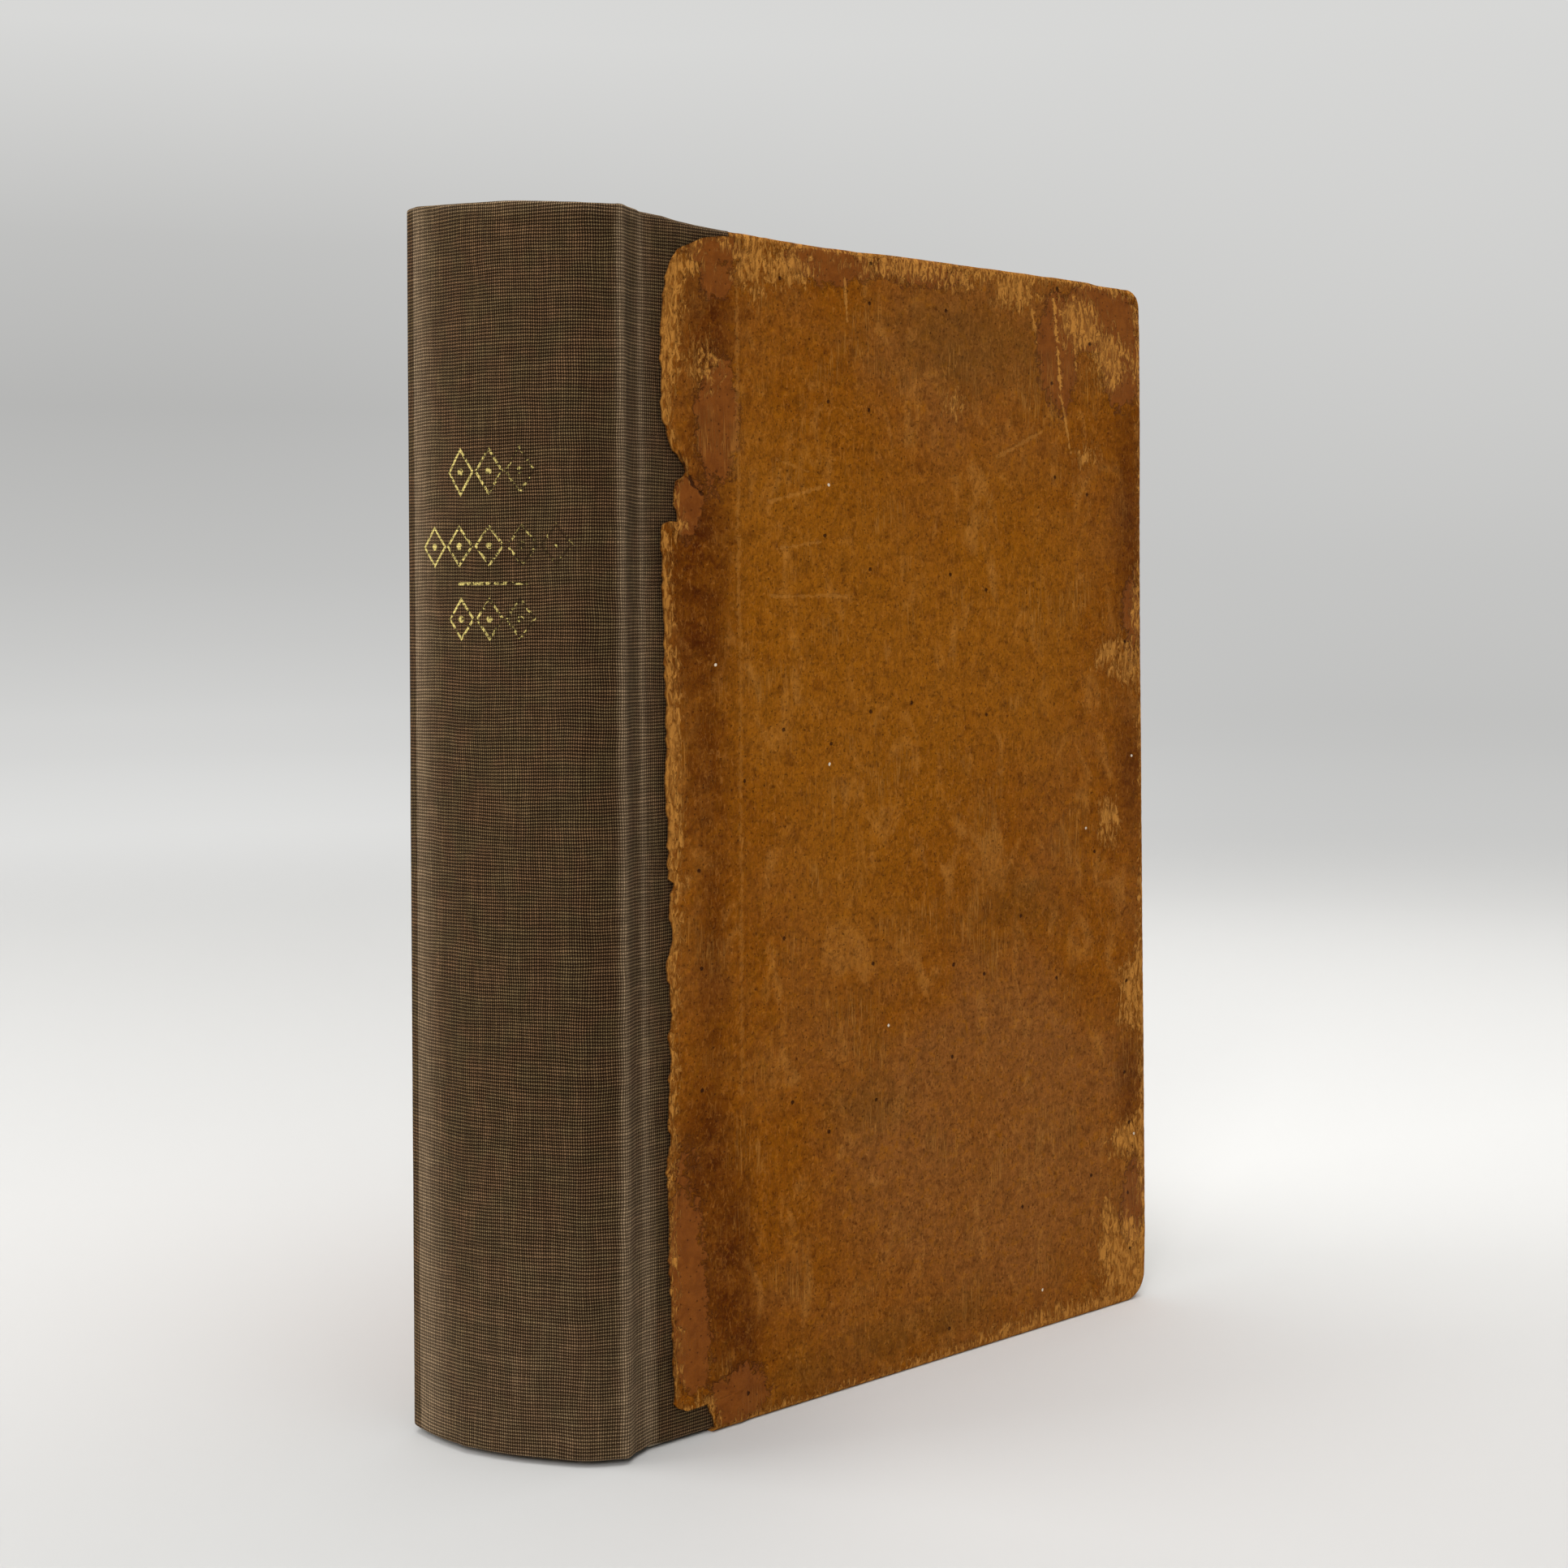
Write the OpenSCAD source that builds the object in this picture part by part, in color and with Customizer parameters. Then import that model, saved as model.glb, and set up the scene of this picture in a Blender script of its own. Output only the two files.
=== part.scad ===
// Rebacked antique book: old calf leather on both boards and a newer woven cloth spine
// over a hollow back. It stands on its tail with the front cover ajar.
// x runs from the spine to the fore-edge, y through the thickness with the front
// cover at -y, and z up from the tail. The origin is the middle of the base.

/* [Text block] */
// Height of the leaves
page_h = 216.6; // [150:0.1:320]
// Width of the leaves, from the shoulder line to the corners of the fore-edge
page_w = 142.4; // [90:0.5:220]
// Thickness of the leaves
text_t = 36.4; // [16:0.5:60]
// How far a backed shoulder stands out past the leaves
shoulder_rise = 2.8; // [2:0.1:4]
// Length over which a shoulder curls out
shoulder_run = 3.4; // [2:0.1:5]
// How far the spine of the leaves bulges out past the shoulder line
spine_round = 6; // [3:0.1:8]

/* [Sewing and linings] */
// Number of cords that the sections are sewn on
cord_count = 5; // [3:1:7]
// Diameter of a sewing cord
cord_d = 1.4; // [0.8:0.1:2]
// Room round a cord in its sawn groove
cord_clearance = 0.1; // [0.05:0.05:0.2]
// Thickness of the lining glued to the spine of the leaves
lining_t = 0.3; // [0.2:0.1:1]
// Diameter of the core of an endband
band_core_d = 2; // [1.4:0.1:2.2]
// Diameter over the thread wound round an endband
band_wrap_d = 2.5; // [2.3:0.1:3]
// Pitch of the thread turns along an endband
band_pitch = 1.6; // [1.2:0.1:3]
// Thickness of a flyleaf or a pastedown
paper_t = 0.2; // [0.1:0.05:0.4]

/* [Spine] */
// Air in the hollow back, between the lining and the inlay
hollow_gap = 0.7; // [0.7:0.1:2]
// Thickness of the stiff paper inlay that shapes the spine
inlay_t = 0.6; // [0.4:0.1:1.5]
// Thickness of the book cloth
cloth_t = 0.4; // [0.3:0.05:0.6]
// Width of the cloth on each board, most of it under the lifted leather
flange_w = 21; // [16:0.5:40]
// Height of the tail end of the cloth spine over the table
spine_lift = 1.2; // [0.6:0.1:3]
// How far the cloth spine stands above the head edges of the covers
spine_proud = 2; // [0.5:0.1:4]

/* [Covers] */
// Thickness of a board
board_t = 2; // [1.5:0.1:4]
// Thickness of the leather outside and round the edges
leather_t = 0.7; // [0.6:0.1:1.2]
// Thickness of what is turned in under a pastedown
turn_t = 0.4; // [0.3:0.05:0.6]
// Width of the turned-in leather and cloth
turn_in = 14; // [8:0.5:25]
// How far a cover stands out past the leaves at head, tail and fore-edge
square_w = 3.2; // [2.8:0.1:6]
// Distance from the shoulder line to the spine edge of a board
joint_w = 6.2; // [5.5:0.1:9]
// Depth of the groove that the cloth dips into at a joint
groove_depth = 1.1; // [0.5:0.1:1.4]
// Margin between the edge of a cover and its pastedown
paste_margin = 3.6; // [1:0.1:7]
// Room between a shut pastedown and its flyleaf
cover_clearance = 0.1; // [0.05:0.05:0.5]
// Radius of the worn corner at the head of a fore-edge
head_corner_r = 4.5; // [2:0.1:12]
// Radius of the worn corner at the tail of a fore-edge
tail_corner_r = 6; // [2:0.1:12]
// Length of the slope where the lifted leather comes back down on the board
lift_slope = 3; // [1:0.1:8]

/* [Rest pose] */
// How far the front cover stands open
open_deg = 25; // [5:1:45]

/* [Hidden] */
$fn = 96;
// Length by which a cutting solid passes the face that it cuts
cut = 1;
// Angle of the spine left free at each end of the inlay
end_deg = 1;
// Angle of the spine left free at each end of the grooves for the sewing cords
groove_end_deg = 6;
// Share of its pitch that a thread turn of an endband fills
wrap_share = 0.6;
// How far the cloth runs straight on past the end of the inlay before it turns down
ridge_run = 0.9;
// Length by which the cloth of a joint laps into the cloth on the board
lap = 1;
// Room between the cloth and the corner of the board that it passes
corner_room = 0.05;
// Number of flats that the cloth has round the spine
spine_flats = 24;

// Leaves
half_t = text_t / 2;
shoulder_y = half_t + shoulder_rise;
text_r = (shoulder_y * shoulder_y + spine_round * spine_round) / (2 * spine_round);
spine_x = text_r - spine_round;
spine_deg = asin(shoulder_y / text_r);
page_top = square_w + page_h;
groove_w = cord_d + 2 * cord_clearance;
cord_deg = spine_deg - groove_end_deg - end_deg;

// Radii of the layers of the spine, all about one axis. The cloth is folded over the
// inlay in narrow flats that touch it.
lining_r = text_r + lining_t;
inlay_in_r = lining_r + hollow_gap;
inlay_out_r = inlay_in_r + inlay_t;
flat_deg = 2 * spine_deg / spine_flats;
cloth_in_r = inlay_out_r / cos(flat_deg / 2);
cloth_r = cloth_in_r + cloth_t;

// Covers, drawn as [s, w, z]: s from the spine edge of the board towards the
// fore-edge, w outwards from the inner face of the board
board_in_y = half_t + paper_t + cover_clearance + paper_t + turn_t;
board_w = page_w + square_w - leather_t - joint_w;
cover_w = board_w + leather_t;
cover_h = page_h + 2 * square_w;
board_h = cover_h - 2 * leather_t;
flange_out = board_t + cloth_t;
flange_top = cover_h - leather_t + cloth_t;
spine_top = cover_h + spine_proud;

// Hinge line of a joint: midway along the groove, level with the cloth on the shoulder
hinge = [joint_w / 2, cloth_r * sin(spine_deg)];

// Middle of the base of the whole book as it stands
back_y = board_in_y + flange_out + leather_t;
fore_edge = ajar([joint_w + cover_w, board_in_y + board_t + leather_t], open_deg);
mid_x = (spine_x - cloth_r + joint_w + cover_w) / 2;
mid_y = (back_y - fore_edge.y) / 2;

// Torn edge of the old leather, as [distance from the spine edge of the board,
// height], for a cover of this height
drawn_h = 223;
FRONT_TEAR = [
    [20.5, 223], [17, 221.5], [13.5, 220.5], [8, 218.5], [6, 216.5], [5, 213], [4, 207],
    [3.7, 195], [3.8, 187], [5.5, 183.5], [9.5, 178], [6.8, 176], [6.3, 172.5], [7.3, 168.5],
    [4, 168], [3.5, 163], [4.2, 148], [4.2, 118], [4.8, 104], [6.7, 102.5], [5, 97],
    [5.6, 92], [4.2, 87], [5.5, 79], [4.7, 74], [5.2, 71], [4.5, 66], [5, 55], [4, 51],
    [4.4, 36], [5.2, 16], [5.4, 7.5], [8, 5.5], [11.8, 6], [13.9, 4], [14.8, 0]
];
BACK_TEAR = [
    [9, 223], [5.5, 217], [4.5, 190], [5.2, 160], [4.4, 120], [5.4, 84], [4.6, 50],
    [5, 14], [8, 0]
];

// Points of a curve that leaves a towards b and comes to c from b
function bend(a, b, c, steps) = [
    for (i = [0 : steps]) let (t = i / steps)
        (1 - t) * (1 - t) * a + 2 * t * (1 - t) * b + t * t * c
];

// Point of the spine at a radius and an angle from the middle of the back
function on_spine(r, deg) = [spine_x - r * cos(deg), r * sin(deg)];

// Point of the back side after its cover has turned open about the hinge line. The
// front side is its mirror image.
function ajar(p, deg) = let (d = p - hinge)
    hinge + [d.x * cos(deg) - d.y * sin(deg), d.x * sin(deg) + d.y * cos(deg)];

// Points at a distance to the left of each point of a path but its ends
function beside(path, gap) = [
    for (i = [1 : len(path) - 2]) let (d = path[i + 1] - path[i - 1])
        path[i] + gap * [-d.y, d.x] / norm(d)
];

function reversed(list) = [for (i = [len(list) - 1 : -1 : 0]) list[i]];

// Puts a part drawn about the shoulder line over the middle of the base
module stand() translate([-mid_x, -mid_y, 0]) children();

// Puts a part drawn in the frame of a cover on the back or on the front of the book
module on_back() translate([joint_w, board_in_y, 0]) children();
module on_front() mirror([0, 1, 0])
    translate(hinge) rotate(open_deg) translate(-hinge) on_back() children();

// Curved slab of the spine between two radii, from height z0 to height z1
module spine_shell(r0, r1, deg, z0, z1)
    translate([spine_x, 0, z0]) rotate(180 - deg)
        rotate_extrude(angle = 2 * deg) translate([r0, 0]) square([r1 - r0, z1 - z0]);

// Sheet in the plane of a cover, with its two fore-edge corners rounded
module cover_sheet(w, h, t, head_r, tail_r)
    translate([0, t, 0]) rotate([90, 0, 0]) linear_extrude(t) union() {
        square([w - tail_r, h / 2]);
        translate([0, h / 2]) square([w - head_r, h / 2]);
        translate([0, tail_r]) square([w, h - tail_r - head_r]);
        translate([w - tail_r, tail_r]) circle(tail_r);
        translate([w - head_r, h - head_r]) circle(head_r);
    }

module board()
    translate([0, 0, leather_t])
        cover_sheet(board_w, board_h, board_t, head_corner_r - leather_t, tail_corner_r - leather_t);

// Middle of the inner face of a board, which nothing is turned in over
module turn_in_window(from_w, margin)
    translate([-cut, from_w, turn_in + margin])
        cube([cut + cover_w - turn_in - margin, turn_t + cut, cover_h - 2 * (turn_in + margin)]);

// Outside of the cloth that is wrapped over the spine edge of a board
module flange_block()
    translate([0, -turn_t, leather_t - cloth_t])
        cube([flange_w, turn_t + flange_out, flange_top - leather_t + cloth_t]);

module cloth_flange() difference() {
    flange_block();
    board();
    turn_in_window(-turn_t - cut, 0);
}

// Old leather round a board, over the cloth near the spine, torn off along its edge
module hide(tear) difference() {
    union() {
        translate([0, -turn_t, 0])
            cover_sheet(cover_w, cover_h, turn_t + board_t + leather_t, head_corner_r, tail_corner_r);
        linear_extrude(cover_h) polygon([
            [0, board_t], [0, flange_out + leather_t], [flange_w, flange_out + leather_t],
            [flange_w + lift_slope, board_t + leather_t], [flange_w + lift_slope, board_t]
        ]);
    }
    board();
    flange_block();
    turn_in_window(-turn_t - cut, 0);
    translate([0, back_y, 0]) rotate([90, 0, 0]) linear_extrude(2 * back_y)
        polygon(concat(
            [[-cut, -cut], [-cut, cover_h + cut], [tear[0].x, cover_h + cut]],
            [for (p = tear) [p.x, p.y * cover_h / drawn_h]],
            [[tear[len(tear) - 1].x, -cut]]
        ));
}

// Paper pasted over the board and over the edge of what is turned in
module paste_sheet() difference() {
    union() {
        translate([0, -turn_t - paper_t, paste_margin])
            cube([cover_w - paste_margin, paper_t, cover_h - 2 * paste_margin]);
        intersection() {
            turn_in_window(-turn_t - cut, 0);
            translate([0, -turn_t - paper_t, 0]) cube([cover_w, turn_t + paper_t, cover_h]);
        }
    }
    translate([0, -paper_t, 0]) turn_in_window(-turn_t - cut, paper_t);
}

// Inner face of the cloth from the end of the spine, over the shoulder and through the
// groove to the edge of the board, and on into the cloth that lies on the board
board_edge = [joint_w, board_in_y + board_t];
function joint_path(deg) = let (
    start = on_spine(cloth_in_r, spine_deg),
    ridge = start + ridge_run * [sin(spine_deg), cos(spine_deg)],
    dip = ajar([hinge.x, board_edge.y - 2 * groove_depth], deg / 2),
    corner = ajar(board_edge + corner_room * [-2, 1], deg),
    down = bend(ridge / 2 + dip / 2, dip, corner, 8)
) concat(
    bend(start, ridge, ridge / 2 + dip / 2, 8),
    [for (i = [1 : 8]) down[i]],
    [on_board(deg, 0.25)]
);

// Point in the thickness of the cloth on a board, as a share of it, where the lap ends
function on_board(deg, share) = ajar(board_edge + [lap, share * cloth_t], deg);

function mirrored(list) = [for (p = list) [p.x, -p.y]];

// Cloth from one board to the other, all round the spine
module cloth_skin() {
    inner = concat(
        reversed(joint_path(0)),
        [for (i = [1 : spine_flats - 1]) on_spine(cloth_in_r, spine_deg - i * flat_deg)],
        mirrored(joint_path(open_deg))
    );
    difference() {
        translate([0, 0, spine_lift]) linear_extrude(spine_top - spine_lift)
            polygon(concat(
                inner, mirrored([on_board(open_deg, 0.75)]),
                reversed(beside(inner, -cloth_t)), [on_board(0, 0.75)]
            ));
        translate([0, 2 * back_y, 0]) rotate([90, 0, 0]) linear_extrude(4 * back_y)
            polygon([
                [0, spine_top], [joint_w, flange_top], [2 * joint_w, flange_top],
                [2 * joint_w, spine_top + cut], [0, spine_top + cut]
            ]);
    }
}

// Cloth folded over one end of the inlay and down inside it
module cloth_fold(z, inside_z) {
    spine_shell(inlay_in_r - cloth_t, inlay_in_r, spine_deg, min(z, inside_z),
        max(z, inside_z) + cloth_t);
    spine_shell(inlay_in_r - cloth_t, inlay_out_r + cloth_t / 2, spine_deg, z, z + cloth_t);
}

// Roll of thread on a core, curved along one end of the spine
module endband(z) {
    band_r = text_r - band_wrap_d / 2;
    band_deg = spine_deg - 2 * end_deg;
    pitch_deg = band_pitch / band_r * 180 / PI;
    turns = floor(band_deg / pitch_deg);
    translate([spine_x, 0, z]) {
        rotate(180 - band_deg) rotate_extrude(angle = 2 * band_deg)
            translate([band_r, 0]) circle(d = band_core_d, $fn = 32);
        for (i = [-turns : turns])
            rotate(180 + i * pitch_deg) translate([band_r, 0, 0]) rotate([90, 0, 0])
                cylinder(d = band_wrap_d, h = wrap_share * band_pitch, center = true, $fn = 32);
    }
}

// Height of the middle of a sewing cord
function cord_z(i) = square_w + page_h * (i + 0.5) / cord_count;

module text_block() color("#e3d5b4") stand() {
    peak = [0, shoulder_y];
    foot = [0.2 * shoulder_run, half_t];
    curl = bend(peak, foot, [shoulder_run, half_t], 10);
    side = concat(
        [peak + (peak - curl[1]) / 2],
        [for (i = [1 : 10]) curl[i]],
        [[page_w + cut, half_t]]
    );
    difference() {
        intersection() {
            translate([0, 0, square_w]) linear_extrude(page_h) polygon(concat(
                [[-2 * spine_round, shoulder_y]], side,
                [for (p = reversed(side)) [p.x, -p.y]], [[-2 * spine_round, -shoulder_y]]
            ));
            union() {
                translate([spine_x, 0, 0]) cylinder(r = text_r, h = cover_h);
                translate([spine_x, -text_r, 0]) cube([page_w, 2 * text_r, cover_h]);
            }
        }
        translate([page_w + sqrt(text_r * text_r - half_t * half_t), 0, 0])
            cylinder(r = text_r, h = cover_h);
        for (i = [0 : cord_count - 1])
            spine_shell(text_r - groove_w, text_r + cut, cord_deg + end_deg,
                cord_z(i) - groove_w / 2, cord_z(i) + groove_w / 2);
    }
}

module sewing_cords() color("#cdbb92") stand()
    for (i = [0 : cord_count - 1])
        translate([spine_x, 0, cord_z(i)]) rotate(180 - cord_deg)
            rotate_extrude(angle = 2 * cord_deg)
                translate([text_r - groove_w / 2, 0]) circle(d = cord_d, $fn = 24);

module spine_lining() color("#cfc3a2") stand()
    spine_shell(text_r, lining_r, spine_deg - end_deg / 2, square_w, page_top);

module head_band() color("#a8894f") stand() endband(page_top + band_wrap_d / 2);

module tail_band() color("#a8894f") stand() endband(square_w - band_wrap_d / 2);

module back_flyleaf() color("#ddcfa9") stand()
    translate([shoulder_run, half_t, square_w])
        cube([page_w - shoulder_run, paper_t, page_h]);

module front_flyleaf() color("#ddcfa9") stand()
    translate([shoulder_run, -half_t - paper_t, square_w])
        cube([page_w - shoulder_run, paper_t, page_h]);

module spine_inlay() color("#8d8069") stand()
    spine_shell(inlay_in_r, inlay_out_r, spine_deg - end_deg, spine_lift + cloth_t,
        spine_top - cloth_t);

// One folded piece: round the inlay and turned in at both ends of it, through both
// joints, and over the spine edge of each board
module spine_cloth() color("#6a5442") stand() {
    cloth_skin();
    cloth_fold(spine_top - cloth_t, spine_top - turn_in);
    cloth_fold(spine_lift, spine_lift + turn_in);
    on_back() cloth_flange();
    on_front() cloth_flange();
}

module front_board() color("#8a7f6c") stand() on_front() board();
module front_leather() color("#a8642f") stand() on_front() hide(FRONT_TEAR);
module front_pastedown() color("#ddcfa9") stand() on_front() paste_sheet();
module back_board() color("#8a7f6c") stand() on_back() board();
module back_leather() color("#a8642f") stand() on_back() hide(BACK_TEAR);
module back_pastedown() color("#ddcfa9") stand() on_back() paste_sheet();

text_block();
sewing_cords();
spine_lining();
head_band();
tail_band();
front_flyleaf();
back_flyleaf();
spine_inlay();
spine_cloth();
front_board();
front_leather();
front_pastedown();
back_board();
back_leather();
back_pastedown();
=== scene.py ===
"""Looks of a rebacked antique book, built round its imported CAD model.

The book has old calf leather on both boards and a newer woven cloth spine that goes under
the lifted, torn edge of the leather. Lengths in the classes are millimetres, in the frame of
the part's source: x from the shoulder line to the fore-edge, y from the middle of the leaves,
z up from the table. The last step of every mesh turns them into metres of the row frame.
"""

import sys

import logging
import math
from dataclasses import dataclass, field
from enum import Enum

import bpy
import numpy as np
from mathutils import Matrix


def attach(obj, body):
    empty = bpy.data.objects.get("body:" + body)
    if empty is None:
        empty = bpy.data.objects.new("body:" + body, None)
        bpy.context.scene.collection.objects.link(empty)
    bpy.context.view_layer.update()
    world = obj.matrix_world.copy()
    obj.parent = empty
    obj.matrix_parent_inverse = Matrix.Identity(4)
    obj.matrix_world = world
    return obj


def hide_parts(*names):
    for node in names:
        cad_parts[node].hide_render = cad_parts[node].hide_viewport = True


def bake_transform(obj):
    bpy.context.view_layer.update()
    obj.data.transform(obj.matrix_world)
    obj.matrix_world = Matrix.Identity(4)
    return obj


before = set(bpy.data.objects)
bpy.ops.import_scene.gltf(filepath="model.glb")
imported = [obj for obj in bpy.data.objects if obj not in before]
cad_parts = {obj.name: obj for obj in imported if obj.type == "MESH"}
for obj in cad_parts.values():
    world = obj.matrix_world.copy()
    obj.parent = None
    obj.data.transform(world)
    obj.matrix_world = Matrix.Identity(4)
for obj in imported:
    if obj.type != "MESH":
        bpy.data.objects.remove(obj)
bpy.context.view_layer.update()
LOG = logging.getLogger("book")
MM = 0.001
Colour = tuple[float, float, float]
Table = tuple[tuple[float, float], ...]
Array = np.ndarray
Piece = bpy.types.Object
Material = bpy.types.Material
Tree = bpy.types.NodeTree
Node = bpy.types.Node
Socket = bpy.types.NodeSocket
Feed = Socket | float | int | tuple | None


class Side(Enum):
    """The two covers: the front one is the mirror image of the back one, and stands ajar."""

    FRONT = "front"
    BACK = "back"


# Sizes and shapes worked out with numpy


@dataclass(frozen=True)
class BookFrame:
    """Sizes that the looks share with the part's source."""

    page_w: float = 142.4
    page_h: float = 216.6
    page_z: float = 3.2
    half_t: float = 18.2
    shoulder_rise: float = 2.8
    shoulder_run: float = 3.4
    text_r: float = 39.75
    spine_x: float = 33.75
    spine_deg: float = 31.8908
    cloth_in_r: float = 41.3611
    cloth_t: float = 0.4
    groove_depth: float = 1.1
    ridge_run: float = 0.9
    joint_w: float = 6.2
    board_in_y: float = 19.1
    board_t: float = 2.0
    leather_t: float = 0.7
    turn_t: float = 0.4
    turn_in: float = 14.0
    flange_w: float = 21.0
    lift_slope: float = 3.0
    cover_w: float = 139.4
    cover_h: float = 223.0
    head_corner_r: float = 3.8
    tail_corner_r: float = 6.0
    hinge: tuple[float, float] = (3.1, 22.0625)
    open_deg: float = 25.0
    mid: tuple[float, float] = (68.7944, -29.9238)

    def row(self, x: Array, y: Array, z: Array) -> Array:
        """Points of the source's frame, in millimetres, as metres of the row frame."""
        x, y, z = np.broadcast_arrays(x, y, z)
        return np.stack([x - self.mid[0], y - self.mid[1], z], -1) * MM

    def turned(self, point: Array, deg: float) -> Array:
        """A plan point of the back side after its cover has turned open about the hinge.

        Args:
            point: Points in plan.
            deg: How far the cover has turned.

        Returns:
            The turned points.
        """
        a = math.radians(deg)
        x, y = point[..., 0] - self.hinge[0], point[..., 1] - self.hinge[1]
        return np.stack(
            [
                self.hinge[0] + x * math.cos(a) - y * math.sin(a),
                self.hinge[1] + x * math.sin(a) + y * math.cos(a),
            ],
            -1,
        )

    def deg(self, side: Side) -> float:
        """How far that cover stands open."""
        return self.open_deg if side is Side.FRONT else 0.0

    def sign(self, side: Side) -> float:
        """-1 on the front side, which is drawn as the mirror image of the back."""
        return -1.0 if side is Side.FRONT else 1.0

    def on_cover(self, side: Side, s: Array, w: Array, z: Array) -> Array:
        """Points of a cover in the row frame.

        Args:
            side: Which cover.
            s: Distance from the spine edge of the board towards the fore-edge.
            w: Distance outwards from the inner face of the board.
            z: Height.

        Returns:
            The points in metres.
        """
        s, w, z = np.broadcast_arrays(s, w, z)
        plan = self.turned(np.stack([self.joint_w + s, self.board_in_y + w], -1), self.deg(side))
        return self.row(plan[..., 0], self.sign(side) * plan[..., 1], z)


BOOK = BookFrame()


def ease(t: Array) -> Array:
    """From 0 to 1 with no kink at either end: 3 t squared less 2 t cubed, held outside 0..1."""
    t = np.clip(t, 0.0, 1.0)
    return t * t * (3 - 2 * t)


def looked_up(table: Table, at: Array) -> Array:
    """Values of a table of (place, value) at these places, in between on straight lines."""
    places, values = np.array(table, float).T
    return np.interp(at, places, values)


def ripple(a: Array, b: Array, seed: int) -> Array:
    """Smooth noise from -1 to 1: random values on a unit lattice, eased between neighbours.

    Args:
        a: First coordinate.
        b: Second coordinate.
        seed: Seed of the lattice.

    Returns:
        The noise.
    """
    table = np.random.default_rng(seed).uniform(-1, 1, (97, 97))
    a, b = np.broadcast_arrays(np.asarray(a, float), np.asarray(b, float))
    i, j = np.floor(a).astype(int), np.floor(b).astype(int)
    fa, fb = ease(a - i), ease(b - j)
    near = table[i % 97, j % 97] * (1 - fb) + table[i % 97, (j + 1) % 97] * fb
    far = table[(i + 1) % 97, j % 97] * (1 - fb) + table[(i + 1) % 97, (j + 1) % 97] * fb
    return near * (1 - fa) + far * fa


def rough(a: Array, b: Array, seed: int, octaves: int = 3) -> Array:
    """Sum of ripples, each half as long and half as high as the one before."""
    total = sum(ripple(a * 2**k, b * 2**k, seed + k) / 2**k for k in range(octaves))
    return total / sum(0.5**k for k in range(octaves))


def along(path: Array) -> Array:
    """Arc length from the start of a path to each of its points."""
    return np.concatenate([[0.0], np.cumsum(np.linalg.norm(np.diff(path, axis=0), axis=1))])


def resampled(path: Array, steps: Array) -> Array:
    """Points of a path at these arc lengths."""
    length = along(path)
    return np.stack([np.interp(steps, length, path[:, k]) for k in range(path.shape[1])], -1)


def rounded(path: Array, reach: int) -> Array:
    """A path whose points are each the mean of their neighbours within reach; its ends stay.

    Args:
        path: Points of the path.
        reach: Number of neighbours on each side.

    Returns:
        The smooth path.
    """
    padded = np.concatenate([path[:1]] * reach + [path] + [path[-1:]] * reach)
    kernel = np.hanning(2 * reach + 3)[1:-1]
    kernel = kernel / kernel.sum()
    smooth = np.stack([np.convolve(padded[:, k], kernel, "valid") for k in range(2)], -1)
    smooth[0], smooth[-1] = path[0], path[-1]
    return smooth


def left_of(path: Array) -> Array:
    """Unit vectors to the left of a plan path at its points.

    Args:
        path: Points of the path.

    Returns:
        The unit vectors.
    """
    ahead = np.gradient(path, axis=0)
    ahead = ahead / np.linalg.norm(ahead, axis=1, keepdims=True)
    return np.stack([-ahead[:, 1], ahead[:, 0]], -1)


def bend(a: Array, b: Array, c: Array, steps: int) -> Array:
    """Points of a curve that leaves a towards b and comes to c from b."""
    t = np.linspace(0, 1, steps)[:, None]
    return (1 - t) ** 2 * a + 2 * t * (1 - t) * b + t * t * c


def grid_quads(ids: Array) -> Array:
    """The four-sided faces between the rows and columns of a grid of point numbers."""
    return np.stack([ids[:-1, :-1], ids[:-1, 1:], ids[1:, 1:], ids[1:, :-1]], -1).reshape(-1, 4)


def closed_rows(rows: int, columns: int) -> Array:
    """Point numbers of a tube's grid, whose rows end on the point that they start from."""
    ids = np.arange(rows * columns).reshape(rows, columns)
    return np.concatenate([ids, ids[:, :1]], 1)


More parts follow.
